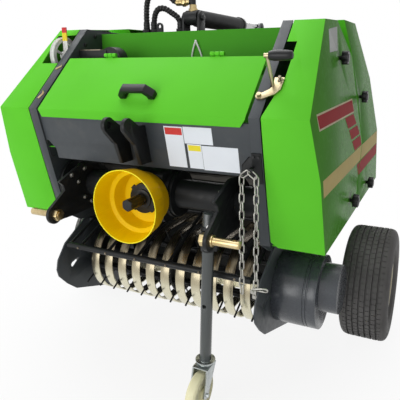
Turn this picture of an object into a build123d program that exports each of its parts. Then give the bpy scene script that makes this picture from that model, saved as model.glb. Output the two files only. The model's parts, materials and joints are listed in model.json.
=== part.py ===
"""Mini round baler for a compact tractor, one STEP per sub-part, in millimetres.

The fold line of the front covers is y = 0 while the pieces are drawn, the front
(tractor) side is -Y, the ground is z = 0 and the machine is symmetric about x = 0
apart from its stand, its pickup drive and its small fittings.  The last section
moves every piece back by ORIGIN_Y, so that the stored origin lies on the ground
under the middle of the machine.
"""
from build123d import *
from math import atan2, cos, degrees, hypot, pi, radians, sin, tan
import os

# ------------------------------------------------------------------ clearances
SEAT = 0.3            # between pieces of one body that are bolted or laid together
RUN = 0.05            # radial running clearance of a shaft in its bore
HOLE = 0.4            # radial clearance of a stud in a sheet-metal hole

# ------------------------------------------------------------------ origin
ORIGIN_Y = 462.75     # from the covers' fold line back to the stored origin

# ------------------------------------------------------------------ side plates
CHAMBER_W = 700       # clear width of the bale chamber
PLATE_T = 5
PLATE_IN = CHAMBER_W / 2
PLATE_OUT = PLATE_IN + PLATE_T
FLANGE_W = 30         # width of the plates' front flange, plate thickness included
FLANGE_X = PLATE_IN + FLANGE_W
FLANGE_T = 4

# front contour of the machine in the y-z plane, top to bottom
TOP = (254, 1108)
FOLD = (0, 862)
KNEE = (36, 706)
FOOT = (87, 500)
SLOPE = atan2(TOP[1] - FOLD[1], TOP[0] - FOLD[0])   # rise of the lid plane

# ------------------------------------------------------------------ bale chamber
BALE_R = 250
CHAMBER_Y = 580
CHAMBER_Z = 758
ROLLER_R = 40
ROLLER_CORE_R = 34
ROLLER_RIBS = 8
ROLLER_STUB_R = 15
ROLLER_RING = BALE_R + ROLLER_R
ROLLER_PLACES = 14    # equal places round the chamber, one is the crop inlet
FRONT_ROLLERS = (4, 5, 6, 7, 8, 10)
TAIL_ROLLERS = (0, 1, 2, 3, 11, 12, 13)

# ------------------------------------------------------------------ side covers
COVER_T = 2.5
COVER_GAP = 3         # dark gap between the frame flange and the cover
COVER_IN = FLANGE_X + COVER_GAP
# half width of the covers' side face by height: (x, z)
SIDE_FACE = ((533, 400), (533, 500), (526, 708), (470, 1108), (467, 1130))
FRONT_COVER = (TOP, FOLD, KNEE, FOOT, (518, 500), (542, 580), (630, 719),
               (586, 1012), (408, 1115))
TAIL_COVER = ((513, 1124), (594, 1014), (639, 719), (551, 580), (527, 500),
              (1012, 500), (1008, 717), (930, 928), (702, 1125))

# ------------------------------------------------------------------ tailgate
TAIL_GAP = 6          # between the frame's side plates and the tailgate's
TAIL_IN = PLATE_OUT + TAIL_GAP
TAIL_OUT = TAIL_IN + PLATE_T
TAIL_COVER_IN = TAIL_OUT + COVER_GAP
HINGE_Y = 500
HINGE_Z = 1080
HINGE_R = 12
TAIL_BEAM_R = 22
TAIL_BEAM = (836, 1015)

# ------------------------------------------------------------------ lift cylinder
CYL_BASE = (370, 1139)
CYL_EYE = (930, 1139)
CYL_PIN_R = 10
CYL_R = 28
CYL_ROD_R = 15
CYL_GLAND_Y = 757
EAR_IN = 24           # inner face of the base ears
EAR_T = 8
LUG_IN = 22           # inner face of the tailgate's rod lugs
TOP_BEAM = 50         # square section of the top cross beam
TOP_BEAM_Y = 345
TOP_BEAM_Z = 1045

# ------------------------------------------------------------------ twine box, lid
SHEET_T = 3
LID_GAP = 8           # from the lid's side edges to the side plates
LID_HALF = PLATE_IN - LID_GAP
LID_T = 2.5
LID_LEN = 214         # from the fold up to the lid's upper edge, along the slope
LIP = 24
HINGE_S = 224          # the hinge line, up the slope from the fold and out of the lid plane
HINGE_H = 1.5
KNUCKLE_R = 6
LID_PIN_R = 3
LID_HINGE_X = (-182, 191)
BOX_WALL_Y = 327      # rear wall of the twine box
BOX_WALL_TOP = 1095
BOX_FLOOR_Z = 740

# ------------------------------------------------------------------ drive line
PTO_Z = 606
PTO_R = 17.45         # 1 3/8 inch, six splines
PTO_ROOT_R = 14.8
PTO_FRONT = -38
PTO_SPLINES = 6
SHIELD_R = 106
SHIELD_FRONT = -53
SHIELD_T = 3
GEAR_FRONT = 60
GEAR_BOSS = 2         # the round seat of the shield stands this far in front
SHIELD_BACK = GEAR_FRONT - GEAR_BOSS - SEAT
GEAR_BACK = 200
GEAR_HALF = 56
GEAR_Z = (530, 684)
TUBE_Y = 135
TUBE_R = 44
TUBE_FLANGE_R = 74
TUBE_FLANGE_T = 12

# ------------------------------------------------------------------ hitch
HITCH_IN = 258.5      # inner face of the lower hitch plates
HITCH_T = 10
HITCH_Y = -50
HITCH_Z = 550
HITCH_PIN_R = 11
HITCH_PIN_FREE = 82
TOPLINK_Y = -59
TOPLINK_Z = 833
TOPLINK_BORE_R = 9.7
TOPLINK_IN = 26       # inner face of the top-link ears
TOPLINK_T = 12

# ------------------------------------------------------------------ stand
LEG_R = 17
LEG_AT = (230, 10, 530)       # where the leg passes its sleeve
LEG_LEAN = 2.6                # degrees, foot towards the middle
LEG_TOP_Z = 602
LEG_FOOT_Z = 155
LEG_HOLE_Z = 330
SLEEVE_T = 4
SLEEVE_LEN = 70
CASTER_R = 62.5
CASTER_TREAD = 10     # half width of the wheel at its full radius
CASTER_HUB = 19       # half length of the wheel's hub
CASTER_TRAIL = 34

# ------------------------------------------------------------------ wheels
WHEEL_X = 587
WHEEL_Y = 613
TYRE_R = 202
TYRE_W = 165
RIM_R = 103
BEAD_IN = 20          # the beads sit this far inside the tyre's full width
AXLE_R = 12.5
BEAM = 50

# ------------------------------------------------------------------ pickup
PICK_Y = 265
PICK_Z = 305
BAND_R = 130
BAND_T = 4
BAND_W = 32
BAND_PITCH = 57
BANDS = 11
TINE_TIP_R = 160
TINE_SWEEP = 0.08     # radians by which the tips lie ahead of their bars
TINE_R = 3
TINE_BAR_R = 9
TINE_BAR_AT = 80
TINE_BARS = 4
REEL_PHASE = 200      # degrees to the first tine bar
REEL_JOURNAL_R = 15
PICK_PLATE_T = 5
PICK_OUT = PLATE_OUT + PICK_PLATE_T
GUARD_BAR = (68, 397)
GUARD_HALF = 333
GUARD_PIVOT = (300, 495)
GUARD_BAR_R = 10
GUARD_ROD_R = 5
GUARD_PIVOT_R = 8
DRUM_R = 113
DRUM_END = 494
HOUSING_R = 74
HOUSING_LEN = 53      # how far the small housing stands out of the drum
HOUSING_RISE = 18     # its centre above the drum's


# ================================================================== helpers
def yz(points, x0, x1):
    """A flat shape given by (y, z) corners, as thick as x0 to x1."""
    face = make_face(Polyline(*points, close=True))
    return extrude(Plane.YZ.offset(x0) * face, x1 - x0)


def xz(points, y0, y1):
    """A flat shape given by (x, z) corners, from y0 back to y1."""
    plane = Plane((0, y0, 0), x_dir=(1, 0, 0), z_dir=(0, -1, 0))
    return extrude(plane * make_face(Polyline(*points, close=True)), -(y1 - y0))


def block(x0, x1, y0, y1, z0, z1):
    return Pos((x0 + x1) / 2, (y0 + y1) / 2, (z0 + z1) / 2) * Box(x1 - x0, y1 - y0, z1 - z0)


def bar_x(r, x0, x1, y, z):
    """A round bar along X."""
    return Pos((x0 + x1) / 2, y, z) * Rot(0, 90, 0) * Cylinder(r, x1 - x0)


def bar_y(r, y0, y1, x, z):
    """A round bar along Y."""
    return Pos(x, (y0 + y1) / 2, z) * Rot(90, 0, 0) * Cylinder(r, y1 - y0)


def bar_z(r, z0, z1, x, y):
    return Pos(x, y, (z0 + z1) / 2) * Cylinder(r, z1 - z0)


def rod(a, b, r):
    """A round bar between two points."""
    a, b = Vector(*a), Vector(*b)
    return extrude(Plane(a, z_dir=b - a) * Circle(r), (b - a).length)


def left_of(path, t):
    """The path moved t to its left, with mitred corners, in its own plane."""
    out = []
    for i, (y, z) in enumerate(path):
        before = path[max(i - 1, 0)]
        after = path[min(i + 1, len(path) - 1)]
        normals = []
        for p, q in ((before, (y, z)), ((y, z), after)):
            run = hypot(q[0] - p[0], q[1] - p[1])
            if run > 0:
                normals.append((-(q[1] - p[1]) / run, (q[0] - p[0]) / run))
        ny = sum(n[0] for n in normals) / len(normals)
        nz = sum(n[1] for n in normals) / len(normals)
        scale = t / (ny * ny + nz * nz)
        out.append((y + ny * scale, z + nz * scale))
    return out


def folded(path, t, x0, x1):
    """Sheet metal folded along a (y, z) path, its thickness to the path's left."""
    return yz(list(path) + left_of(path, t)[::-1], x0, x1)


def link_plate(a, ra, b, rb, x0, x1):
    """A plate round two bosses: (y, z) centres and radii, joined by tangents."""
    bosses = Pos(*a) * Circle(ra) + Pos(*b) * Circle(rb)
    run, turn = hypot(b[0] - a[0], b[1] - a[1]), atan2(b[1] - a[1], b[0] - a[0])
    lean = atan2(ra - rb, run)
    corners = []
    for (cy, cz), r, side in ((a, ra, 1), (b, rb, 1), (b, rb, -1), (a, ra, -1)):
        angle = turn + side * (pi / 2 - lean)
        corners.append((cy + r * cos(angle), cz + r * sin(angle)))
    web = make_face(Polyline(*corners, close=True))
    return extrude(Plane.YZ.offset(x0) * (bosses + web), x1 - x0)


def both(shape):
    """The right-hand piece and its mirror image."""
    return [shape, mirror(shape, Plane.YZ)]


def face_x(z):
    """Half width of the covers' side face at height z."""
    for (x0, z0), (x1, z1) in zip(SIDE_FACE, SIDE_FACE[1:]):
        if z0 <= z <= z1:
            return x0 + (x1 - x0) * (z - z0) / (z1 - z0)
    raise ValueError(z)


NODES = {}


# ================================================================== side plates
def side_plate():
    """Right-hand side plate with its front flange and the leg down to the axle."""
    contour = [TOP, FOLD, KNEE, FOOT, (150, 460), (330, 440), (470, 330), (560, 160),
               (668, 160), (690, 385), (565, 392), (575, 560), (622, 719), (580, 1012),
               (530, 1100)]
    plate = yz(contour, PLATE_IN, PLATE_OUT)
    plate += folded([TOP, FOLD, KNEE, FOOT], FLANGE_T, PLATE_IN, FLANGE_X)
    for y, z in [roller_centre(place) for place in FRONT_ROLLERS]:
        plate -= bar_x(ROLLER_STUB_R + SEAT, PLATE_IN - 1, PLATE_OUT + 1, y, z)
    plate -= bar_x(HINGE_R + RUN, PLATE_IN - 1, PLATE_OUT + 1, HINGE_Y, HINGE_Z)
    plate -= bar_x(GUARD_PIVOT_R + RUN, PLATE_IN - 1, PLATE_OUT + 1, *GUARD_PIVOT)
    plate -= bar_x(20 + SEAT, PLATE_IN - 1, PLATE_OUT + 1, WHEEL_Y, TYRE_R)
    return plate


def roller_centre(place):
    angle = 2 * pi * place / ROLLER_PLACES
    return (CHAMBER_Y + ROLLER_RING * cos(angle), CHAMBER_Z + ROLLER_RING * sin(angle))


NODES["side_plate_right"], NODES["side_plate_left"] = both(side_plate())


# ================================================================== rollers
def rollers(places, half):
    """Ribbed steel rollers between the plates, each with its stub shafts."""
    outline = []
    for i in range(ROLLER_RIBS):
        middle = 2 * pi * i / ROLLER_RIBS
        for radius, lean in ((ROLLER_CORE_R, -0.12), (ROLLER_R, -0.08), (ROLLER_R, 0.08),
                             (ROLLER_CORE_R, 0.12)):
            outline.append((radius * cos(middle + lean), radius * sin(middle + lean)))
    core = make_face(Polyline(*outline, close=True))
    solids = []
    for place in places:
        y, z = roller_centre(place)
        body = extrude(Plane.YZ.offset(-half + SEAT) * Pos(y, z) * core, 2 * (half - SEAT))
        reach = half + PLATE_T
        body += bar_x(ROLLER_STUB_R, -reach, reach, y, z)
        solids.append(body)
    return Compound(solids)


NODES["front_rollers"] = rollers(FRONT_ROLLERS, PLATE_IN)
NODES["tail_rollers"] = rollers(TAIL_ROLLERS, TAIL_IN)


# ================================================================== front panel
PANEL_BACK = 6        # set back behind the covers' front contour
PANEL_T = 4
PANEL_TOP = 846
PANEL_FOOT = 703
PANEL_LEAN = atan2(KNEE[0] - FOLD[0], FOLD[1] - KNEE[1])


def contour_y(z):
    """y of the front contour below the fold."""
    (y0, z0), (y1, z1) = (FOLD, KNEE) if z > KNEE[1] else (KNEE, FOOT)
    return y0 + (y1 - y0) * (z - z0) / (z1 - z0)


def front_panel():
    top = contour_y(PANEL_TOP) + PANEL_BACK
    foot = contour_y(PANEL_FOOT) + PANEL_BACK
    path = [(top + 30, PANEL_TOP), (top, PANEL_TOP), (foot, PANEL_FOOT), (foot + 16, PANEL_FOOT)]
    panel = folded(path, PANEL_T, -PLATE_IN, PLATE_IN)
    for side in (-1, 1):
        notch = [(side * 318, 600), (side * 318, 735), (side * 340, 760), (side * 349, 760),
                 (side * 349, 600)]
        panel -= xz(notch, -20, 120)
    return panel


NODES["front_panel"] = front_panel()


def toplink_bracket():
    """Two ears for the tractor's top link, seated on the front panel."""
    def seat(z):
        return (contour_y(z) + PANEL_BACK - SEAT, z)
    ears = []
    for side in (-1, 1):
        x0, x1 = sorted((side * TOPLINK_IN, side * (TOPLINK_IN + TOPLINK_T)))
        ear = link_plate((TOPLINK_Y, TOPLINK_Z), 22, (-24, 804), 26, x0, x1)
        ear += yz([(-46, 812), (-10, 720), seat(720), seat(828), (-28, 828)], x0, x1)
        ear -= bar_x(TOPLINK_BORE_R, x0 - 1, x1 + 1, TOPLINK_Y, TOPLINK_Z)
        ears.append(ear)
    return Compound(ears)


NODES["toplink_ears"] = toplink_bracket()


# ================================================================== twine box
def twine_box():
    """Rear wall and floor of the twine box."""
    panel_y = contour_y(BOX_FLOOR_Z - SHEET_T) + PANEL_BACK + PANEL_T / cos(PANEL_LEAN)
    wall = [(BOX_WALL_Y, BOX_WALL_TOP), (BOX_WALL_Y, 1000), (245, 862), (228, BOX_FLOOR_Z),
            (panel_y + SEAT, BOX_FLOOR_Z)]
    return folded(wall, SHEET_T, -PLATE_IN, PLATE_IN)


NODES["twine_box"] = twine_box()


def lid_plane(s, h, x=0):
    """World point on the lid plane: s up the slope from the fold, h out of it."""
    return (x, FOLD[0] + s * cos(SLOPE) - h * sin(SLOPE), FOLD[1] + s * sin(SLOPE) + h * cos(SLOPE))


LID_LOCAL = Plane(origin=(0, FOLD[0], FOLD[1]), x_dir=(1, 0, 0), z_dir=(0, -sin(SLOPE), cos(SLOPE)))


def on_lid(x0, x1, s0, s1, h0, h1):
    """A block in the lid's own directions."""
    centre = ((x0 + x1) / 2, (s0 + s1) / 2, (h0 + h1) / 2)
    return LID_LOCAL * Pos(*centre) * Box(x1 - x0, s1 - s0, h1 - h0)


LID_HINGE = lid_plane(HINGE_S, HINGE_H)[1:]
LEAF_T = 2.5
LEAF_END = HINGE_S - 26
RAIL_DROP = 34        # from the hinge line down to the rail
RAIL_W = 24


def lid_rail():
    """Angle rail under the lid's upper edge with the fixed hinge leaves and pins."""
    y, z = LID_HINGE
    back, top = y + KNUCKLE_R, z - RAIL_DROP
    rail = block(-PLATE_IN, PLATE_IN, back - LEAF_T, back + RAIL_W, top - SHEET_T, top)
    rail += block(-PLATE_IN, PLATE_IN, back - LEAF_T, back - LEAF_T + SHEET_T, top - RAIL_W, top)
    for x in LID_HINGE_X:
        for x0, x1 in ((x - 22, x - 9), (x + 9, x + 22)):
            leaf = block(x0, x1, back - LEAF_T, back, top - 1, z)
            rail += leaf + bar_x(KNUCKLE_R, x0, x1, *LID_HINGE)
        rail += bar_x(LID_PIN_R, x - 22, x + 22, *LID_HINGE)
    return rail


def twine_lid():
    """Sloping lid with its folded lip and the moving hinge leaves."""
    upper = (lid_plane(LID_LEN, 0)[1], lid_plane(LID_LEN, 0)[2])
    lid = folded([upper, FOLD, (FOLD[0] - 1, FOLD[1] - LIP)], LID_T, -LID_HALF, LID_HALF)
    for side in (-1, 1):
        corner = [(side * (LID_HALF + 1), FOLD[1] - 2), (side * (LID_HALF + 1), FOLD[1] - LIP - 1),
                  (side * (LID_HALF - 14), FOLD[1] - LIP - 1)]
        lid -= xz(corner, -10, 20)
    for x in LID_HINGE_X:
        leaf = on_lid(x - 7, x + 7, LEAF_END, HINGE_S, HINGE_H - KNUCKLE_R, HINGE_H - KNUCKLE_R + LEAF_T)
        leaf += bar_x(KNUCKLE_R, x - 7, x + 7, *LID_HINGE)
        leaf -= bar_x(LID_PIN_R + RUN, x - 8, x + 8, *LID_HINGE)
        lid += leaf
    return lid


HANDLE_HALF = 58
HANDLE_S = 60
HANDLE_H = 38


def lid_handle():
    """Black bridge handle on the lid."""
    side = [(-HANDLE_HALF, 0), (-HANDLE_HALF, 14), (-HANDLE_HALF + 20, HANDLE_H),
            (HANDLE_HALF - 20, HANDLE_H), (HANDLE_HALF, 14), (HANDLE_HALF, 0),
            (HANDLE_HALF - 20, 0), (HANDLE_HALF - 20, 10), (HANDLE_HALF - 30, 24),
            (-HANDLE_HALF + 30, 24), (-HANDLE_HALF + 20, 10), (-HANDLE_HALF + 20, 0)]
    plane = Plane(origin=lid_plane(HANDLE_S, SEAT), x_dir=(1, 0, 0),
                  z_dir=(0, -cos(SLOPE), -sin(SLOPE)))
    return extrude(plane * make_face(Polyline(*side, close=True)), 12, both=True)


NODES["lid_rail"] = lid_rail()
NODES["twine_lid"] = twine_lid()
NODES["lid_handle"] = lid_handle()


# ================================================================== side covers
def cover(outline, x_in):
    """Right-hand side cover: a folded sheet-metal box, open towards the frame."""
    def body(inset, inner_x):
        side = make_face(Polyline(*outline, close=True))
        if inset:
            side = offset(side, -inset, kind=Kind.INTERSECTION)
        prism = extrude(Plane.YZ.offset(inner_x) * side, COVER_REACH - inner_x)
        section = [(x - inset, z) for x, z in SIDE_FACE]
        section += [(inner_x - 5, SIDE_FACE[-1][1]), (inner_x - 5, SIDE_FACE[0][1])]
        return prism & xz(section, FOLD[0] - 50, TAIL_COVER[5][0] + 50)
    return body(0, x_in) - body(COVER_T, x_in - 1)


COVER_REACH = SIDE_FACE[0][0] + 50    # past the widest place of the covers
FRONT_KNOBS = ((385, 1005), (420, 560))
TAIL_KNOBS = ((665, 872), (735, 545))
STUD_R = 6
KNOB_R = 21
KNOB_LOBES = 6


def studded(shell, knobs):
    for y, z in knobs:
        shell -= bar_x(STUD_R + HOLE, face_x(z) - 15, face_x(z) + 15, y, z)
    return shell


def knobs(places, x_in):
    """Star knobs on studs that carry a cover, for both sides of the machine."""
    solids = []
    for y, z in places:
        face = face_x(z)
        stud = bar_x(STUD_R, x_in, face + 14, y, z)
        stud += bar_x(STUD_R + 7, x_in, face - COVER_T - 9, y, z)
        star = []
        for i in range(2 * KNOB_LOBES):
            angle = pi * i / KNOB_LOBES
            radius = KNOB_R if i % 2 == 0 else KNOB_R - 5
            star += [(y + radius * cos(angle - 0.18), z + radius * sin(angle - 0.18)),
                     (y + radius * cos(angle + 0.18), z + radius * sin(angle + 0.18))]
        head = yz(star, face + 9, face + 27) + bar_x(KNOB_R - 9, face + 7, face + 29, y, z)
        solids += both(stud + head)
    return Compound(solids)


WINDOW = ((-452, 996), (-462, 1088), (-380, 1088), (-380, 996))
NOTCH = ((380, 868), (383, 868), (411, 952), (411, 1048), (380, 1048))


def through_slope(corners):
    """A cut through the sloping front sheet, given by (x, z) corners."""
    low = min(z for x, z in corners)
    high = max(z for x, z in corners)
    band = [lid_plane((z - FOLD[1]) / sin(SLOPE), h)[1:] for z, h in
            ((low - 8, -9), (high + 8, -9), (high + 8, 9), (low - 8, 9))]
    return xz(corners, -60, 400) & yz(band, -600, 600)


CORNER = ((COVER_IN - 1, FOOT[1] + 16), (COVER_IN + 21, FOOT[1] - 1), (COVER_IN - 1, FOOT[1] - 1))
FRONT_RIGHT = studded(cover(FRONT_COVER, COVER_IN), FRONT_KNOBS) - xz(CORNER, FOLD[0], FOOT[0] + 8)
NODES["front_cover_left"] = mirror(FRONT_RIGHT, Plane.YZ) - through_slope(WINDOW)
NODES["front_cover_right"] = FRONT_RIGHT - through_slope(NOTCH)
NODES["tail_cover_right"], NODES["tail_cover_left"] = both(
    studded(cover(TAIL_COVER, TAIL_COVER_IN), TAIL_KNOBS))
NODES["front_cover_knobs"] = knobs(FRONT_KNOBS, PLATE_OUT)
NODES["tail_cover_knobs"] = knobs(TAIL_KNOBS, TAIL_OUT)


# ================================================================== tailgate
def tail_plate():
    """Right-hand side plate of the tailgate, with its hinge pin."""
    contour = [(474, 1104), (698, 1106), (912, 922), (988, 714), (990, 520), (900, 430),
               (800, 405), (575, 405), (585, 560), (632, 719), (592, 1010), (560, 1040),
               (474, 1052)]
    plate = yz(contour, TAIL_IN, TAIL_OUT)
    for y, z in [roller_centre(place) for place in TAIL_ROLLERS]:
        plate -= bar_x(ROLLER_STUB_R + SEAT, TAIL_IN - 1, TAIL_OUT + 1, y, z)
    plate += bar_x(HINGE_R, PLATE_IN, TAIL_OUT, HINGE_Y, HINGE_Z)
    plate += bar_x(HINGE_R + 8, PLATE_OUT + 1, TAIL_IN, HINGE_Y, HINGE_Z)
    return plate


def tail_beam():
    """Cross tube of the tailgate with the two lugs for the cylinder rod."""
    beam = bar_x(TAIL_BEAM_R, -TAIL_IN, TAIL_IN, *TAIL_BEAM)
    for side in (-1, 1):
        x0, x1 = sorted((side * LUG_IN, side * (LUG_IN + 8)))
        beam += link_plate(TAIL_BEAM, 34, CYL_EYE, 20, x0, x1)
        x0, x1 = sorted((side * (LUG_IN - 4), side * (LUG_IN + 12)))
        beam += bar_x(CYL_PIN_R, x0, x1, *CYL_EYE)
    return beam


NODES["tail_plate_right"], NODES["tail_plate_left"] = both(tail_plate())
NODES["tail_beam"] = tail_beam()


# ================================================================== top beam, cylinder
def top_beam():
    """Cross beam behind the twine box: ears of the cylinder, hose sockets, lifting eye."""
    y0, z0 = TOP_BEAM_Y, TOP_BEAM_Z
    top = z0 + TOP_BEAM
    beam = block(-PLATE_IN, PLATE_IN, y0, y0 + TOP_BEAM, z0, top)
    for side in (-1, 1):
        x0, x1 = sorted((side * EAR_IN, side * (EAR_IN + EAR_T)))
        beam += link_plate((CYL_BASE[0], top), 22, CYL_BASE, 20, x0, x1) \
            & block(x0, x1, y0 - 50, y0 + 100, top - 1, CYL_BASE[1] + 50)
    beam += bar_x(CYL_PIN_R, -EAR_IN - EAR_T - 8, EAR_IN + EAR_T + 8, *CYL_BASE)
    for x, y in (HOSE_A[0][:2], HOSE_B[0][:2], HOSE_B[-1][:2]):
        beam += bar_z(HOSE_R + 4, top - 1, top + SOCKET, x, y)
    eye = block(-132, -108, y0 + 4, y0 + 11, top - 1, top + 20) + bar_y(12, y0 + 4, y0 + 11, -120, top + 20)
    beam += eye - bar_y(6, y0, y0 + 20, -120, top + 20)
    return beam


PORT_Z = CYL_BASE[1] + 51    # height of the oil port's elbow
PORT_END = -38        # its outer face, where the hose meets it


def cylinder_barrel():
    """Barrel with its base boss, gland and oil port."""
    base_y, z = CYL_BASE
    half = EAR_IN - 2
    barrel = bar_y(CYL_R, base_y + 26, CYL_GLAND_Y, 0, z) + bar_y(19, base_y + 10, base_y + 27, 0, z)
    barrel += bar_x(24, -half, half, *CYL_BASE)
    barrel += bar_y(CYL_R + 3, CYL_GLAND_Y - 22, CYL_GLAND_Y - 4, 0, z)
    barrel += bar_z(10, z + 10, PORT_Z + 9, 0, base_y)
    barrel += bar_x(8, PORT_END, 4, base_y, PORT_Z)
    barrel -= bar_x(CYL_PIN_R + RUN, -half - 1, half + 1, *CYL_BASE)
    barrel -= bar_y(CYL_ROD_R + RUN, base_y + 50, CYL_GLAND_Y + 1, 0, z)
    return barrel


def cylinder_rod():
    y, z = CYL_EYE
    piston = bar_y(CYL_ROD_R, 560, y - 10, 0, z)
    eye = bar_x(20, -15, 15, y, z) + block(-15, 15, y - 30, y, z - 15, z + 15)
    return piston + eye - bar_x(CYL_PIN_R + 0.5, -16, 16, y, z)


# ------------------------------------------------------------------ hoses
HOSE_R = 9
SOCKET = 12           # height of the hose sockets on the beam
HOSE_LOW = TOP_BEAM_Z + TOP_BEAM + SOCKET + SEAT
HOSE_A = ((-177, 358, HOSE_LOW), (-177, 358, 1152), (-173, 359, PORT_Z + 10), (-150, 361, PORT_Z + 48),
          (-110, 364, PORT_Z + 54), (-86, 368, PORT_Z + 22), (-68, CYL_BASE[0], PORT_Z),
          (PORT_END - SEAT, CYL_BASE[0], PORT_Z))
HOSE_B = ((-150, 362, HOSE_LOW), (-150, 362, 1140), (-136, 362, 1172), (-108, 363, 1176),
          (-80, 370, 1157), (-54, 377, 1138), (-54, 377, HOSE_LOW))


def hose(points):
    """Straight runs joined by tangent arcs as large as the runs allow."""
    radii = []
    for a, b, c in zip(points, points[1:], points[2:]):
        first, second = Vector(*b) - Vector(*a), Vector(*c) - Vector(*b)
        turn = radians(first.get_angle(second))
        radii.append(0.45 * min(first.length, second.length) / tan(turn / 2))
    path = FilletPolyline(*points, radius=radii)
    start = Plane(points[0], z_dir=Vector(*points[1]) - Vector(*points[0]))
    return sweep(start * Circle(HOSE_R), path=path)


NODES["top_beam"] = top_beam()
NODES["cylinder_barrel"] = cylinder_barrel()
NODES["cylinder_rod"] = cylinder_rod()
NODES["hose_feed"] = hose(HOSE_A)
NODES["hose_return"] = hose(HOSE_B)


# ================================================================== drive line
def pto_ring(profile):
    """A body turned about the PTO axis from (radius, y) corners."""
    plane = Plane(origin=(0, 0, PTO_Z), x_dir=(1, 0, 0), z_dir=(0, 0, 1))
    face = plane * make_face(Polyline(*profile, close=True))
    return revolve(face, Axis((0, 0, PTO_Z), (0, 1, 0)), 360)


HUB_EARS = 4


def gearbox():
    casing = block(-GEAR_HALF, GEAR_HALF, GEAR_FRONT, GEAR_BACK, *GEAR_Z)
    casing = fillet(casing.edges().filter_by(Axis.X), 18)
    casing += bar_y(62, GEAR_FRONT - GEAR_BOSS, GEAR_FRONT + 10, 0, PTO_Z)
    casing += bar_y(44, GEAR_FRONT - 22, GEAR_FRONT, 0, PTO_Z)
    for i in range(HUB_EARS):
        turn = Pos(0, 0, PTO_Z) * Rot(0, 45 + 360 * i / HUB_EARS, 0)
        casing += turn * Pos(0, GEAR_FRONT - 19, 45) * Box(14, 6, 8)
    casing += bar_y(30, GEAR_FRONT - 28, GEAR_FRONT - 20, 0, PTO_Z)
    casing += bar_x(TUBE_FLANGE_R, -GEAR_HALF - TUBE_FLANGE_T, GEAR_HALF + TUBE_FLANGE_T, TUBE_Y, PTO_Z)
    casing -= bar_y(PTO_R + RUN, GEAR_FRONT - 40, GEAR_FRONT + 50, 0, PTO_Z)
    return casing


def pto_shaft():
    """Splined input shaft on its journal."""
    shaft = bar_y(PTO_R, PTO_FRONT, GEAR_FRONT + 49, 0, PTO_Z)
    for i in range(PTO_SPLINES):
        angle = radians(360 * (i + 0.5) / PTO_SPLINES)
        groove = Pos(PTO_R * sin(angle), 0, PTO_Z + PTO_R * cos(angle)) * Rot(0, degrees(angle), 0) \
            * Box(8.5, 62, 2 * (PTO_R - PTO_ROOT_R))
        shaft -= Pos(0, PTO_FRONT + 31, 0) * groove
    nose = bar_y(PTO_R + 1, PTO_FRONT - 1, PTO_FRONT + 3, 0, PTO_Z)
    bevel = pto_ring([(0, PTO_FRONT - 1), (PTO_R - 2.5, PTO_FRONT - 1), (PTO_R - 2.5, PTO_FRONT),
                      (PTO_R + 1, PTO_FRONT + 3), (0, PTO_FRONT + 3)])
    return shaft - (nose - bevel)


def pto_shield():
    """Stepped plastic cup round the input shaft."""
    outer = [(SHIELD_R, SHIELD_FRONT), (97, 8), (84, 12), (79, SHIELD_BACK)]
    profile = outer + [(46, SHIELD_BACK), (46, SHIELD_BACK - SHIELD_T)]
    profile += [(79 - SHIELD_T, SHIELD_BACK - SHIELD_T), (84 - SHIELD_T, 12 - SHIELD_T),
                (97 - SHIELD_T, 8 - SHIELD_T), (SHIELD_R - SHIELD_T, SHIELD_FRONT)]
    return pto_ring(profile)


def shaft_tube():
    """Right-hand drive tube between the gearbox and the side plate."""
    start = GEAR_HALF + TUBE_FLANGE_T
    tube = bar_x(TUBE_R, start, PLATE_IN, TUBE_Y, PTO_Z)
    tube += bar_x(TUBE_FLANGE_R - 4, start, start + 10, TUBE_Y, PTO_Z)
    tube += bar_x(TUBE_FLANGE_R - 4, PLATE_IN - 12, PLATE_IN, TUBE_Y, PTO_Z)
    return tube


NODES["gearbox"] = gearbox()
NODES["pto_shaft"] = pto_shaft()
NODES["pto_shield"] = pto_shield()
NODES["shaft_tube_right"], NODES["shaft_tube_left"] = both(shaft_tube())


# ================================================================== hitch
def hitch_plate():
    """Right-hand lower hitch plate, welded round the drive tube."""
    web = [(HITCH_Y - 20, HITCH_Z + 21), (-18, 604), (-3, 613), (-7, 630), (-24, 645), (74, 682), (150, 682),
           (205, 640), (205, 570), (150, 527), (14, 525), (HITCH_Y + 17, HITCH_Z - 23)]
    plate = yz(web, HITCH_IN, HITCH_IN + HITCH_T) + bar_x(29, HITCH_IN, HITCH_IN + HITCH_T, HITCH_Y, HITCH_Z)
    plate -= bar_x(TUBE_R + SEAT, HITCH_IN - 1, HITCH_IN + HITCH_T + 1, TUBE_Y, PTO_Z)
    plate -= bar_x(HITCH_PIN_R + SEAT, HITCH_IN - 1, HITCH_IN + HITCH_T + 1, HITCH_Y, HITCH_Z)
    return plate


def hitch_pin():
    """Right-hand lower link pin with its collar, nut and lynch-pin hole."""
    seat = HITCH_IN + HITCH_T
    tip = seat + HITCH_PIN_FREE
    pin = bar_x(HITCH_PIN_R, HITCH_IN - 20, tip, HITCH_Y, HITCH_Z)
    pin += bar_x(HITCH_PIN_R + 5, seat, seat + 8, HITCH_Y, HITCH_Z)
    nut = Plane.YZ.offset(HITCH_IN - 18) * Pos(HITCH_Y, HITCH_Z) * RegularPolygon(18, 6)
    pin += extrude(nut, 18)
    pin -= bar_z(5.5, HITCH_Z - 20, HITCH_Z + 20, tip - 14, HITCH_Y)
    return chamfer(pin.faces().sort_by(Axis.X)[-1].edges(), 2)


LEG_PLACE = Pos(*LEG_AT) * Rot(0, LEG_LEAN, 0)    # leg axis is local Z


def leg_z(world_z):
    """Distance along the leg from its sleeve for a height above the ground."""
    return (world_z - LEG_AT[2]) / cos(radians(LEG_LEAN))


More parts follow.
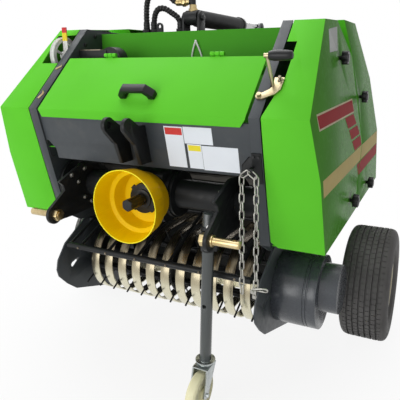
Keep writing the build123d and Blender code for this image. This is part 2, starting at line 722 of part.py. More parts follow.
def sleeve():
    """Sleeve of the stand, welded to the hitch plate, with its spring plunger."""
    tube = Cylinder(LEG_R + SLEEVE_T, SLEEVE_LEN)
    tube += Pos(14, 0, 0) * Box(32, 16, SLEEVE_LEN * 0.9)
    tube += Pos(-4, -(LEG_R + 8), 22) * Rot(90, 0, 0) * Cylinder(5, 14)
    tube -= Cylinder(LEG_R + RUN, SLEEVE_LEN + 2)
    welded = LEG_PLACE * tube
    return welded & block(0, HITCH_IN + 1, -200, 200, 0, 900)


RIGHT_HITCH = hitch_plate()
NODES["hitch_plate_left"] = mirror(RIGHT_HITCH, Plane.YZ)
NODES["hitch_plate_right"] = RIGHT_HITCH + sleeve()
NODES["hitch_pin_right"], NODES["hitch_pin_left"] = both(hitch_pin())


# ================================================================== stand
LEG_FOOT = leg_z(LEG_FOOT_Z)


def jockey_leg():
    top = leg_z(LEG_TOP_Z)
    leg = Pos(0, 0, (top + LEG_FOOT) / 2) * Cylinder(LEG_R, top - LEG_FOOT)
    leg -= Pos(0, 0, leg_z(LEG_HOLE_Z)) * Rot(90, 0, 0) * Cylinder(6, 60)
    leg -= Pos(0, 0, LEG_FOOT + 15) * Cylinder(8 + RUN, 32)
    return LEG_PLACE * leg


LEAN = radians(LEG_LEAN)
HUB_Z = leg_z(CASTER_R * cos(LEAN) + CASTER_TREAD * sin(LEAN))    # the tilted wheel stands on the ground
FORK_IN = CASTER_HUB + 1
FORK_T = 4


def caster_fork():
    """Swivel plate, bearing ring and pressed fork with its axle."""
    crown = Pos(0, 0, LEG_FOOT - 3) * Cylinder(29, 4)
    crown += Pos(0, 0, LEG_FOOT - 0.7) * Cylinder(19, 1)
    crown += Pos(0, 0, LEG_FOOT - 9) * Cylinder(22, 9)
    crown += Pos(0, 0, LEG_FOOT + 11) * Cylinder(8, 36)
    crown += Pos(0, -6, LEG_FOOT - 15) * Box(2 * (FORK_IN + FORK_T), 56, 4)
    top = LEG_FOOT - 14
    for side in (-1, 1):
        arm = Polyline((22, top), (-34, top), (-CASTER_TRAIL - 15, HUB_Z - 2), (-CASTER_TRAIL, HUB_Z - 15),
                       (-CASTER_TRAIL + 15, HUB_Z - 2), close=True)
        start = FORK_IN if side > 0 else -FORK_IN - FORK_T
        crown += extrude(Plane.YZ.offset(start) * make_face(arm), FORK_T)
    crown += Pos(0, -CASTER_TRAIL, HUB_Z) * Rot(0, 90, 0) * Cylinder(6, 2 * (FORK_IN + FORK_T) + 12)
    return LEG_PLACE * crown


def caster_wheel():
    half = [(6 + RUN, CASTER_HUB), (19, CASTER_HUB), (19, 12), (46, 12), (50, 16), (58, 16),
            (CASTER_R, CASTER_TREAD)]
    profile = half + [(r, -x) for r, x in reversed(half)]
    turned = revolve(Plane.XZ * make_face(Polyline(*profile, close=True)), Axis.Z, 360)
    return LEG_PLACE * Pos(0, -CASTER_TRAIL, HUB_Z) * Rot(0, 90, 0) * turned


NODES["jockey_leg"] = jockey_leg()
NODES["caster_fork"] = caster_fork()
NODES["caster_wheel"] = caster_wheel()


# ================================================================== wheels, axle
def turned_x(profile, x, y, z):
    """A body turned about an X axis from (radius, x) corners."""
    face = Plane.XZ * make_face(Polyline(*profile, close=True))
    return Pos(x, y, z) * Rot(0, 90, 0) * revolve(face, Axis.Z, 360)


def tyre():
    half = TYRE_W / 2
    right = [(RIM_R + SEAT, half - BEAD_IN), (RIM_R + 14, half - BEAD_IN), (RIM_R + 26, half - 6),
             (RIM_R + 44, half), (TYRE_R - 34, half), (TYRE_R - 14, half - 6), (TYRE_R - 3, half - 18)]
    ribs = []
    for x in (44, 15):
        ribs += [(TYRE_R, x + 4), (TYRE_R - 6, x + 3), (TYRE_R - 6, x - 3), (TYRE_R, x - 4)]
    profile = right + ribs
    profile += [(r, -x) for r, x in reversed(profile)]
    return turned_x(profile, WHEEL_X, WHEEL_Y, TYRE_R)


def rim():
    """Pressed disc wheel with its hub, cream on the real machine."""
    lip = TYRE_W / 2 - BEAD_IN + SEAT
    shell = [(RIM_R - 7, -lip - 4), (RIM_R + 10, -lip - 4), (RIM_R + 10, -lip), (RIM_R, -lip),
             (RIM_R, lip), (RIM_R + 10, lip), (RIM_R + 10, lip + 4), (RIM_R - 7, lip + 4),
             (RIM_R - 4, lip - 4), (RIM_R - 4, -lip + 4)]
    disc = [(RIM_R - 3, 6), (60, 22), (28, 22), (28, 40), (AXLE_R + RUN, 40), (AXLE_R + RUN, -52),
            (28, -52), (28, 16), (60, 16), (RIM_R - 3, 0)]
    return turned_x(shell, WHEEL_X, WHEEL_Y, TYRE_R) + turned_x(disc, WHEEL_X, WHEEL_Y, TYRE_R)


def axle_beam():
    """Square cross beam with a turned stub at each end."""
    half = BEAM / 2
    beam = block(-PLATE_IN, PLATE_IN, WHEEL_Y - half, WHEEL_Y + half, TYRE_R - half, TYRE_R + half)
    for side in (-1, 1):
        for r, a, b in ((20, PLATE_IN - 1, WHEEL_X - 54), (AXLE_R, WHEEL_X - 60, WHEEL_X + 44)):
            x0, x1 = sorted((side * a, side * b))
            beam += bar_x(r, x0, x1, WHEEL_Y, TYRE_R)
    return beam


NODES["tyre_right"], NODES["tyre_left"] = both(tyre())
NODES["rim_right"], NODES["rim_left"] = both(rim())
NODES["axle_beam"] = axle_beam()


# ================================================================== pickup
def pickup_side():
    """Right-hand end plate of the pickup."""
    contour = [(28, 316), (36, 348), (74, 396), (226, 484), (440, 484), (455, 330), (445, 132), (333, 129),
               (110, 213), (70, 248), (34, 290)]
    plate = yz(contour, PLATE_OUT, PICK_OUT)
    plate -= bar_x(REEL_JOURNAL_R + RUN, PLATE_OUT - 1, PICK_OUT + 1, PICK_Y, PICK_Z)
    plate -= link_plate((101, 308), 9, (128, 320), 4, PLATE_OUT - 1, PICK_OUT + 1)
    plate += bar_x(6, 336, PLATE_OUT + 1, *STOP)
    return plate


GUARD_RISE = atan2(GUARD_PIVOT[1] - GUARD_BAR[1], GUARD_PIVOT[0] - GUARD_BAR[0])
STOP_Y = 205
STOP = (STOP_Y, GUARD_BAR[1] + (STOP_Y - GUARD_BAR[0]) * tan(GUARD_RISE)
        - (GUARD_ROD_R + 6 + SEAT) / cos(GUARD_RISE))


def pickup_bands():
    """Bent steel bands over the reel, on two cross bars behind it."""
    rear_low, rear_high = 428, 434
    low, high = PICK_Z - BAND_R, PICK_Z + BAND_R
    line_a = Line((rear_high, high), (PICK_Y, high))
    arc = ThreePointArc((PICK_Y, high), (PICK_Y - BAND_R, PICK_Z), (PICK_Y, low))
    line_b = Line((PICK_Y, low), (rear_low, low))
    line_c = Line((rear_low, low), (rear_low, low + BAND_T))
    line_d = Line((rear_low, low + BAND_T), (PICK_Y, low + BAND_T))
    inner = ThreePointArc((PICK_Y, low + BAND_T), (PICK_Y - BAND_R + BAND_T, PICK_Z), (PICK_Y, high - BAND_T))
    line_e = Line((PICK_Y, high - BAND_T), (rear_high, high - BAND_T))
    line_f = Line((rear_high, high - BAND_T), (rear_high, high))
    face = make_face([line_a, arc, line_b, line_c, line_d, inner, line_e, line_f])
    rack = block(-PLATE_IN + SEAT, PLATE_IN - SEAT, rear_high - 22, rear_high, high - 30, high - BAND_T + 1)
    rack += block(-PLATE_OUT, PLATE_OUT, rear_low - 20, rear_low, low + BAND_T - 1, low + 30)
    for i in range(BANDS):
        x = (i - (BANDS - 1) / 2) * BAND_PITCH
        rack += extrude(Plane.YZ.offset(x - BAND_W / 2) * face, BAND_W)
    return rack


def tine_reel():
    """Shaft, spider discs, tine bars and tines of the pickup, one turning piece."""
    reel = bar_x(20, -330, 330, PICK_Y, PICK_Z)
    reel += bar_x(REEL_JOURNAL_R, -PICK_OUT - 8, PICK_OUT + 8, PICK_Y, PICK_Z)
    for x in (-325, 0, 325):
        reel += bar_x(TINE_BAR_AT + 14, x - 3, x + 3, PICK_Y, PICK_Z)
    for k in range(TINE_BARS):
        angle = radians(REEL_PHASE + 360 * k / TINE_BARS)
        away = (cos(angle), sin(angle))
        cy, cz = PICK_Y + TINE_BAR_AT * away[0], PICK_Z + TINE_BAR_AT * away[1]
        reel += bar_x(TINE_BAR_R, -325, 325, cy, cz)
        tip = angle + TINE_SWEEP
        tip_y, tip_z = PICK_Y + TINE_TIP_R * cos(tip), PICK_Z + TINE_TIP_R * sin(tip)
        for i in range(BANDS + 1):
            x = (i - BANDS / 2) * BAND_PITCH
            start = Plane((x, cy, cz), z_dir=(0, tip_y - cy, tip_z - cz))
            reel += extrude(start * RegularPolygon(TINE_R, 6), hypot(tip_y - cy, tip_z - cz))
    return reel


def wind_guard():
    """Bar and rods that hold the crop down over the tines, on a pivot shaft."""
    guard = bar_x(GUARD_BAR_R, -GUARD_HALF, GUARD_HALF, *GUARD_BAR)
    guard += bar_x(GUARD_PIVOT_R, -PLATE_OUT, PLATE_OUT, *GUARD_PIVOT)
    for place in (1, 3, 5):
        x = place * BAND_PITCH
        for shape in both(rod((x, *GUARD_BAR), (x, *GUARD_PIVOT), GUARD_ROD_R)):
            guard += shape
    x = GUARD_HALF - 3
    for shape in both(rod((x, *GUARD_BAR), (x, *GUARD_PIVOT), GUARD_ROD_R)):
        guard += shape
    return guard


def pickup_drum():
    """Drum-shaped guard of the pickup drive and its smaller outer housing."""
    drum = bar_x(DRUM_R, PICK_OUT, DRUM_END, PICK_Y, PICK_Z)
    for x in (DRUM_END - 39, DRUM_END - 30):
        groove = bar_x(DRUM_R + 5, x, x + 4, PICK_Y, PICK_Z)
        drum -= groove - bar_x(DRUM_R - 2.5, x - 1, x + 5, PICK_Y, PICK_Z)
    drum += bar_x(HOUSING_R, DRUM_END - 1, DRUM_END + HOUSING_LEN, PICK_Y, PICK_Z + HOUSING_RISE)
    drum -= bar_x(28, PICK_OUT - 1, PICK_OUT + 14, PICK_Y, PICK_Z)
    return drum


def pickup_pan():
    """Closing sheet behind the reel, its top lip leading the crop to the rollers."""
    path = [(466, 437), (440, 431), (440, 180), (446, 168)]
    return folded(path, SHEET_T, -PLATE_IN + SEAT, PLATE_IN - SEAT)


NODES["pickup_side_right"], NODES["pickup_side_left"] = both(pickup_side())
NODES["pickup_pan"] = pickup_pan()
NODES["pickup_bands"] = pickup_bands()
NODES["tine_reel"] = tine_reel()
NODES["wind_guard"] = wind_guard()
NODES["pickup_drum"] = pickup_drum()


# ================================================================== small fittings
CHAIN_PITCH = 23
CHAIN_WIRE = 5.4
CHAIN_W = 17
CHAIN_HOOK_Z = 712
CHAIN_X = (333, 373)
CHAIN_LINKS = (14, 13)
CRANK_X = 388
CRANK_Z = 1010
LEVER_T = 5
GRIP_R = 13
GRIP_LEN = 60
CRANK_ROD_R = 4.5
PULLEY_R = 61
PULLEY_AT = (-413, 208, 1020)
GUIDE_DEPTH = 50      # tray of the twine guide, front to back
GUIDE_H = 28
GUIDE_DROP = 12       # from the pulley's centre down to the tray's floor
GUIDE_ARCH_X = -226
GUIDE_ARCH_R = 42
GUIDE_STEP = 10       # the tray ends this far short of the arch's middle
POINTER_AT = (-391, 190)
POINTER_TOP = 1112


def chain_link(x, y, z, turned):
    """One link hanging with its centre at the given point."""
    half_w, half_l = CHAIN_W / 2, (CHAIN_PITCH + SEAT) / 2 + CHAIN_WIRE
    bevel = 5
    corners = [(half_w, half_l - bevel), (half_w - bevel, half_l)]
    corners += [(-x, z) for x, z in reversed(corners)]
    corners += [(-x, -z) for x, z in corners]
    ring = make_face(Polyline(*corners, close=True)) - Rectangle(CHAIN_W - 2 * CHAIN_WIRE, CHAIN_PITCH + SEAT)
    link = extrude(ring, CHAIN_WIRE / 2, both=True)
    return Pos(x, y, z) * Rot(0, 0, 90 if turned else 0) * Rot(90, 0, 0) * link


def safety_chains():
    """Two check chains on their hook bar."""
    wire_r = CHAIN_WIRE / 2
    hook = bar_x(wire_r, CHAIN_X[0] - 9, CHAIN_X[1] + 9, 0, CHAIN_HOOK_Z)
    hook += bar_y(4, 0, contour_y(CHAIN_HOOK_Z + 4) - SEAT, (CHAIN_X[0] + CHAIN_X[1]) / 2, CHAIN_HOOK_Z)
    solids = [hook]
    top = CHAIN_HOOK_Z + wire_r + SEAT - (CHAIN_PITCH + SEAT) / 2
    for x, links in zip(CHAIN_X, CHAIN_LINKS):
        solids += [chain_link(x, 0, top - i * CHAIN_PITCH, i % 2 == 0) for i in range(links)]
    return Compound(solids)


def hand_crank():
    """Bent lever with its upright rod and grip, bolted on the right-hand flange."""
    flat = [(358, 60), (370, 59), (400, 75), (411, 92), (412, 131), (386, 131), (389, 104), (383, 92),
            (366, 79), (357, 78)]
    lever = extrude(LID_LOCAL * Pos(0, 0, SEAT) * make_face(Polyline(*flat, close=True)), LEVER_T)
    lever += LID_LOCAL * Pos(361, 69, SEAT + LEVER_T / 2) * Cylinder(10, LEVER_T)
    lever += LID_LOCAL * Pos(361, 69, SEAT + 6) * Cylinder(6, 12)
    lever += LID_LOCAL * Pos(404, 121, SEAT + 7) * Cylinder(8, 14)
    foot, head = lid_plane(104, 3, CRANK_X), (CRANK_X, 24, CRANK_Z)
    lever += rod(foot, head, CRANK_ROD_R)
    elbow = CRANK_ROD_R + 1.5
    lever += bar_x(elbow, CRANK_X - elbow, CRANK_X + elbow + 2, *head[1:])
    return lever + bar_x(GRIP_R, CRANK_X + elbow, CRANK_X + elbow + GRIP_LEN, *head[1:])


def twine_pulley():
    """Grooved twine wheel in the left-hand cover's window."""
    x, y, z = PULLEY_AT
    half = [(PULLEY_R - 3, 9), (PULLEY_R, 7), (PULLEY_R - 7, 2)]
    groove = [(0, 9)] + half + [(r, -w) for r, w in reversed(half)] + [(0, -9)]
    return turned_x(groove, *PULLEY_AT) + bar_x(11, x - 11, -PLATE_OUT, y, z)


def bale_indicator():
    """Upright pointer bar beside the pulley."""
    x, y = POINTER_AT
    bar = block(x - 10, x + 9, y - 2, y + 2, 925, POINTER_TOP)
    return bar + block(x - 10, -PLATE_OUT, y - 2, y + 2, 925, 940)


def twine_guide():
    """Twine guide box with its arched knife guard, in the left end of the twine box."""
    x, z = GUIDE_ARCH_X, PULLEY_AT[2] - GUIDE_DROP
    y0, y1 = PULLEY_AT[1] - 2, PULLEY_AT[1] - 2 + GUIDE_DEPTH
    tray = block(-PLATE_IN, x - GUIDE_STEP, y0, y1, z, z + GUIDE_H)
    arch = bar_y(GUIDE_ARCH_R, y0 + 4, y1 - 4, x, z - 4)
    return tray + (arch & block(x - GUIDE_ARCH_R, x + GUIDE_ARCH_R, y0, y1, z - 2, z + GUIDE_ARCH_R))


NODES["safety_chains"] = safety_chains()
NODES["hand_crank"] = hand_crank()
NODES["twine_pulley"] = twine_pulley()
NODES["bale_indicator"] = bale_indicator()
NODES["twine_guide"] = twine_guide()


# ================================================================== export
os.makedirs("parts", exist_ok=True)
for name, shape in NODES.items():
    export_step(Pos(0, -ORIGIN_Y, 0) * shape, f"parts/{name}.step")
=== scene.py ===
"""Looks of the mini round baler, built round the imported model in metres.

-Y is the tractor side, +X the side of the stand and the pickup drive, +Z up.
"""

import json
from math import atan2, cos, hypot, pi, radians, sin

import bmesh
import bpy
from mathutils import Matrix, Vector


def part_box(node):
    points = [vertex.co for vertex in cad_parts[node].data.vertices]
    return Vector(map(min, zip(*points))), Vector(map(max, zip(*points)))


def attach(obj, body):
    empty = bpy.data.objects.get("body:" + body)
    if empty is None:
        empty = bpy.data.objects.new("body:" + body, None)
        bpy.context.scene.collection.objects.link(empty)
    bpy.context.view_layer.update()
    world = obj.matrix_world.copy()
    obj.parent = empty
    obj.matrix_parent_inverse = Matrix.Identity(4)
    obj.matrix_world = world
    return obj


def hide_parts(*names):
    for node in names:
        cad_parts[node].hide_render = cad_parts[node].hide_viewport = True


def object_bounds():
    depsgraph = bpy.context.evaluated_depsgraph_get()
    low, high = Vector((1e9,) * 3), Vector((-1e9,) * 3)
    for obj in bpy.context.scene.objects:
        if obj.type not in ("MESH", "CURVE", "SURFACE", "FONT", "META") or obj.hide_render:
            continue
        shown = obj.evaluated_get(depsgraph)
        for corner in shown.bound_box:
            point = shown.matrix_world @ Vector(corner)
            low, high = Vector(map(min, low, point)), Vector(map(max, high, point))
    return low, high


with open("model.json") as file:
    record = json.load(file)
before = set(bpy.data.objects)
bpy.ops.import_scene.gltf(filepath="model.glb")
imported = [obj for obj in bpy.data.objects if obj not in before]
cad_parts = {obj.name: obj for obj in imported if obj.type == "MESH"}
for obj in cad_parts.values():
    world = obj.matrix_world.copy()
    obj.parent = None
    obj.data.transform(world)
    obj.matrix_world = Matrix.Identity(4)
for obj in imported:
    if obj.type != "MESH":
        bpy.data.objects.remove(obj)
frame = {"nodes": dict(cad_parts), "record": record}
CAD_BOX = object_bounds()
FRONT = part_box("side_plate_right")[0].y  # the line of the covers' front fold
NODE_SLOT = {part["node"]: part["material_slot"] for part in frame["record"]["subparts"]}
NODE_BODY = {node: body for body, nodes in frame["record"]["behaviour"]["bodies"].items() for node in nodes}
SIDES = (("left", -1), ("right", 1))
WHITE = (1, 1, 1, 1)


def placed(name, data):
    """A new object in the scene."""
    thing = bpy.data.objects.new(name, data)
    bpy.context.scene.collection.objects.link(thing)
    return thing


# -------- shader nodes
def map_range(tree, source, low, high, start=0.0, stop=1.0):
    """A value that goes from low to high while the source goes from start to stop."""
    node = tree.nodes.new("ShaderNodeMapRange")
    for socket, value in (("From Min", start), ("From Max", stop), ("To Min", low), ("To Max", high)):
        node.inputs[socket].default_value = value
    tree.links.new(source, node.inputs["Value"])
    return node.outputs["Result"]


def of_two(tree, operation, first, second):
    """What a math node makes of two outputs."""
    node = tree.nodes.new("ShaderNodeMath")
    node.operation = operation
    tree.links.new(first, node.inputs[0])
    tree.links.new(second, node.inputs[1])
    return node.outputs[0]


def mixed(tree, share, first, second):
    """Two shaders mixed, where the share is the second one's."""
    node = tree.nodes.new("ShaderNodeMixShader")
    for source, socket in zip((share, first, second), node.inputs):
        tree.links.new(source, socket)
    return node.outputs[0]


def shown_directly(tree):
    """1 for camera, glossy and transmission rays, which see the plain white room."""
    path = tree.nodes.new("ShaderNodeLightPath").outputs
    plain = of_two(tree, "MAXIMUM", path["Is Camera Ray"], path["Is Glossy Ray"])
    return of_two(tree, "MAXIMUM", plain, path["Is Transmission Ray"])


# -------- camera and light
CAMERA_PLACE = Vector((0.788, FRONT - 1.0525, 0.996))
CAMERA_YAW = radians(24.94)
CAMERA_TILT = radians(12.92)
CAMERA_ROLL = radians(-0.44)
CAMERA_LENS = 42.12
CAMERA_SENSOR = 36
CAMERA_SHIFT = (-0.0729, -0.0769)
CAMERA_NEAR = 0.05
# name, place, point it is turned to, width and height, watts
LAMPS = (("front_softbox", (-0.7, -3.4, 1.0), (0, 0, 0.5), (2.6, 1.8), 43),
         ("top_softbox", (-0.8, 0.3, 3.5), (-0.1, 0, 0.6), (2.6, 3.0), 60),
         ("rear_softbox", (-0.8, 3.6, 2.2), (0, 0, 0.7), (2.4, 1.6), 30))
DIM_WAY = (0.92, 0.39, 0)  # the way in which the room gets darker,
DIM_SPAN = (-0.1, 0.7)  # from where to where along it,
ROOM_LIGHT = (0.55, 0.07)  # and the strength of its light at both


def set_camera():
    lens = bpy.data.cameras.new("camera")
    lens.sensor_width = CAMERA_SENSOR
    lens.lens = CAMERA_LENS
    lens.shift_x, lens.shift_y = CAMERA_SHIFT
    lens.clip_start = CAMERA_NEAR
    camera = placed("camera", lens)
    turn = Matrix.Rotation(CAMERA_YAW, 4, "Z") @ Matrix.Rotation(pi / 2 - CAMERA_TILT, 4, "X")
    camera.matrix_world = Matrix.Translation(CAMERA_PLACE) @ turn @ Matrix.Rotation(CAMERA_ROLL, 4, "Z")
    bpy.context.scene.camera = camera


def lamp(name, place, aim, size, power):
    light = bpy.data.lights.new(name, "AREA")
    light.shape = "RECTANGLE"
    light.size, light.size_y = size
    light.energy = power
    holder = placed(name, light)
    holder.location = place
    holder.rotation_euler = (Vector(aim) - Vector(place)).to_track_quat("-Z", "Y").to_euler()


def set_light():
    """Softboxes in front, overhead and behind, in a room that gets darker to the right and the rear."""
    for row in LAMPS:
        lamp(*row)
    world = bpy.data.worlds.new("room")
    bpy.context.scene.world = world
    world.use_nodes = True
    tree = world.node_tree
    tree.nodes.clear()
    way = tree.nodes.new("ShaderNodeTexCoord").outputs["Generated"]
    side = tree.nodes.new("ShaderNodeVectorMath")
    side.operation = "DOT_PRODUCT"
    side.inputs[1].default_value = DIM_WAY
    tree.links.new(way, side.inputs[0])
    air, white = (tree.nodes.new("ShaderNodeBackground") for _ in range(2))
    for background in (air, white):
        background.inputs["Color"].default_value = WHITE
    white.inputs["Strength"].default_value = 1.0
    tree.links.new(map_range(tree, side.outputs["Value"], *ROOM_LIGHT, *DIM_SPAN), air.inputs["Strength"])
    out = tree.nodes.new("ShaderNodeOutputWorld")
    seen = mixed(tree, shown_directly(tree), air.outputs[0], white.outputs[0])
    tree.links.new(seen, out.inputs["Surface"])
    bpy.context.scene.view_settings.view_transform = "Standard"


# -------- finishes
NOISE_SPAN = (0.3, 0.7)  # where most of a noise's values lie
FINISH = {}  # the materials, by slot or use; three have a name of their own
SLOT_OF = {"galvanised_steel": "zinc", "hard_chrome": "chrome", "cream_nylon": "cream_plastic"}


class Finish:
    """A material with its principled shader and a few short ways to feed it."""

    def __init__(self, name):
        self.material = FINISH[SLOT_OF.get(name, name)] = bpy.data.materials.new(name)
        self.material.use_nodes = True
        self.nodes = self.material.node_tree.nodes
        self.links = self.material.node_tree.links
        self.shader = self.nodes["Principled BSDF"]
        self.place = self.nodes.new("ShaderNodeTexCoord").outputs["Object"]

    def put(self, socket, value):
        self.shader.inputs[socket].default_value = value

    def feed(self, socket, output):
        self.links.new(output, self.shader.inputs[socket])

    def stretched(self, scale):
        node = self.nodes.new("ShaderNodeMapping")
        node.inputs["Scale"].default_value = scale
        self.links.new(self.place, node.inputs["Vector"])
        return node.outputs["Vector"]

    def noise(self, scale, detail=4.0, roughness=0.5, vector=None):
        node = self.nodes.new("ShaderNodeTexNoise")
        node.inputs["Scale"].default_value = scale
        node.inputs["Detail"].default_value = detail
        node.inputs["Roughness"].default_value = roughness
        self.links.new(vector or self.place, node.inputs["Vector"])
        return node.outputs["Fac"]

    def ramp(self, source, stops):
        """Colours over a 0 to 1 value: stops are (position, colour)."""
        node = self.nodes.new("ShaderNodeValToRGB")
        stripe = node.color_ramp
        while len(stripe.elements) < len(stops):
            stripe.elements.new(0.5)
        for element, (position, colour) in zip(stripe.elements, stops):
            element.position = position
            element.color = (*colour, 1)
        self.links.new(source, node.inputs["Fac"])
        return node.outputs["Color"]

    def between(self, source, low, high, start=0.0, stop=1.0):
        return map_range(self.material.node_tree, source, low, high, start, stop)

    def up(self, node, low, high):
        """A value that goes from low to high from a CAD node's bottom to its top."""
        bottom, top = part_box(node)
        split = self.nodes.new("ShaderNodeSeparateXYZ")
        self.links.new(self.place, split.inputs[0])
        return self.between(split.outputs["Z"], low, high, bottom.z, top.z)

    def tint(self, source, dark, light):
        start, stop = NOISE_SPAN
        self.feed("Base Color", self.ramp(source, [(start, dark), (stop, light)]))

    def roughen(self, source, rough):
        self.feed("Roughness", self.between(source, *rough, *NOISE_SPAN))

    def bump(self, source, height, strength=1.0, under=None):
        node = self.nodes.new("ShaderNodeBump")
        node.inputs["Distance"].default_value = height
        node.inputs["Strength"].default_value = strength
        self.links.new(source, node.inputs["Height"])
        if under:
            self.links.new(under, node.inputs["Normal"])
        self.links.new(node.outputs["Normal"], self.shader.inputs["Normal"])
        return node.outputs["Normal"]


def shades(colour, spread):
    """A darker and a lighter shade of a colour."""
    return tuple(c * (1 - spread) for c in colour), tuple(min(1, c * (1 + spread)) for c in colour)


def paint(name, colour, rough=(0.24, 0.34), spread=0.06, gloss=0.5, peel=0.00005, dust=None):
    """Sprayed paint: faint tone shifts, orange peel and a little dust in its matte patches."""
    finish = Finish(name)
    dark, light = shades(colour, spread)
    if dust:
        film = finish.ramp(finish.noise(9, 6, 0.65), [(0.0, dark), (0.55, light), (0.78, dust)])
        finish.feed("Base Color", film)
    else:
        finish.tint(finish.noise(3.5, 3), dark, light)
    finish.roughen(finish.noise(55, 3), rough)
    finish.put("Specular IOR Level", gloss)
    waves = finish.bump(finish.noise(5, 1), 0.0004, 0.5)
    finish.bump(finish.noise(500, 2), peel, 0.3, waves)


def plated(name, dark, light, rough=(0.3, 0.5), grain=(1, 1, 1), scale=60, metal=1.0, height=0.0002):
    """Plated or bare steel with a cloudy tint and a drawn grain."""
    finish = Finish(name)
    lines = finish.noise(scale, 5, 0.6, finish.stretched(grain))
    mix = finish.nodes.new("ShaderNodeMix")
    mix.data_type = "FLOAT"
    mix.inputs[0].default_value = 0.5
    finish.links.new(lines, mix.inputs[2])
    finish.links.new(finish.noise(14, 3), mix.inputs[3])
    finish.feed("Base Color", finish.ramp(mix.outputs[0], [(0.35, dark), (0.65, light)]))
    finish.roughen(lines, rough)
    finish.put("Metallic", metal)
    finish.bump(lines, height, 0.4)


def moulded(name, colour, rough=(0.35, 0.5), spread=0.05, height=0.00015, gloss=0.4):
    """Moulded plastic or rubber with a fine grain."""
    finish = Finish(name)
    finish.tint(finish.noise(8, 3), *shades(colour, spread))
    grain = finish.noise(420, 3, 0.6)
    finish.roughen(grain, rough)
    finish.put("Specular IOR Level", gloss)
    finish.bump(grain, height, 0.5)


# painted reflection up the pickup bands, pale low down and dark brown up top, by share of their height
BAND_REFLECTION = ((0.0, (0.72, 0.69, 0.54)), (0.4, (0.72, 0.68, 0.51)), (0.52, (0.44, 0.39, 0.27)),
               (0.75, (0.22, 0.185, 0.125)), (1.0, (0.12, 0.1, 0.07)))
BAND_STREAKS = 0.1  # how far the streaks shift that painted reflection
# colours up the bale indicator
POINTER_SHADES = ((0.0, (0.75, 0.74, 0.7)), (0.765, (0.86, 0.66, 0.01)), (0.904, (0.62, 0.02, 0.02)))


def bands_with_painted_reflection():
    """Galvanised pickup bands with a painted reflection: pale towards the bottom, dark brown towards the
    top.
    """
    finish = Finish("band_painted_reflection")
    lines = finish.noise(150, 4, 0.6, finish.stretched((1, 0.04, 0.04)))
    height = finish.nodes.new("ShaderNodeMath")
    height.operation = "MULTIPLY_ADD"
    height.inputs[1].default_value = BAND_STREAKS
    finish.links.new(lines, height.inputs[0])
    middle = BAND_STREAKS / 2
    finish.links.new(finish.up("pickup_bands", -middle, 1 - middle), height.inputs[2])
    finish.feed("Base Color", finish.ramp(height.outputs[0], BAND_REFLECTION))
    finish.roughen(lines, (0.24, 0.32))
    finish.put("Metallic", 0.95)
    finish.bump(lines, 0.00002, 0.4)


def banded_pointer():
    """Red tip, yellow and white bands by height."""
    finish = Finish("pointer_bands")
    colours = finish.ramp(finish.up("bale_indicator", 0, 1), POINTER_SHADES)
    finish.nodes[-1].color_ramp.interpolation = "CONSTANT"
    finish.feed("Base Color", colours)
    finish.roughen(finish.noise(90), (0.3, 0.5))
    finish.bump(finish.noise(300, 2), 0.0001, 0.4)


GREEN = (0.125, 0.59, 0.034)
# painted shade: a darker green for the twine box, whose walls stand in shade
BOX_SHADE_GREEN = (0.07, 0.34, 0.024)
# painted shade: a darker green for the covers' flat outer side faces
SIDE_SHADE_GREEN = (0.1, 0.33, 0.046)
GREY = (0.047, 0.054, 0.06)
BLACK = (0.011, 0.012, 0.0125)
DRY_GREY = (0.075, 0.078, 0.078)  # dust on the grey and the black paint
DRY_BLACK = (0.024, 0.024, 0.023)
ROUND_X = (1, 0.03, 0.03)  # squeezes of a noise that leave a grain drawn that way
ALONG_X = (0.1, 1, 1)
ALONG_Y = (1, 0.1, 1)
STRIPE = {"rough": (0.3, 0.4), "gloss": 0.004, "height": 0.00002}


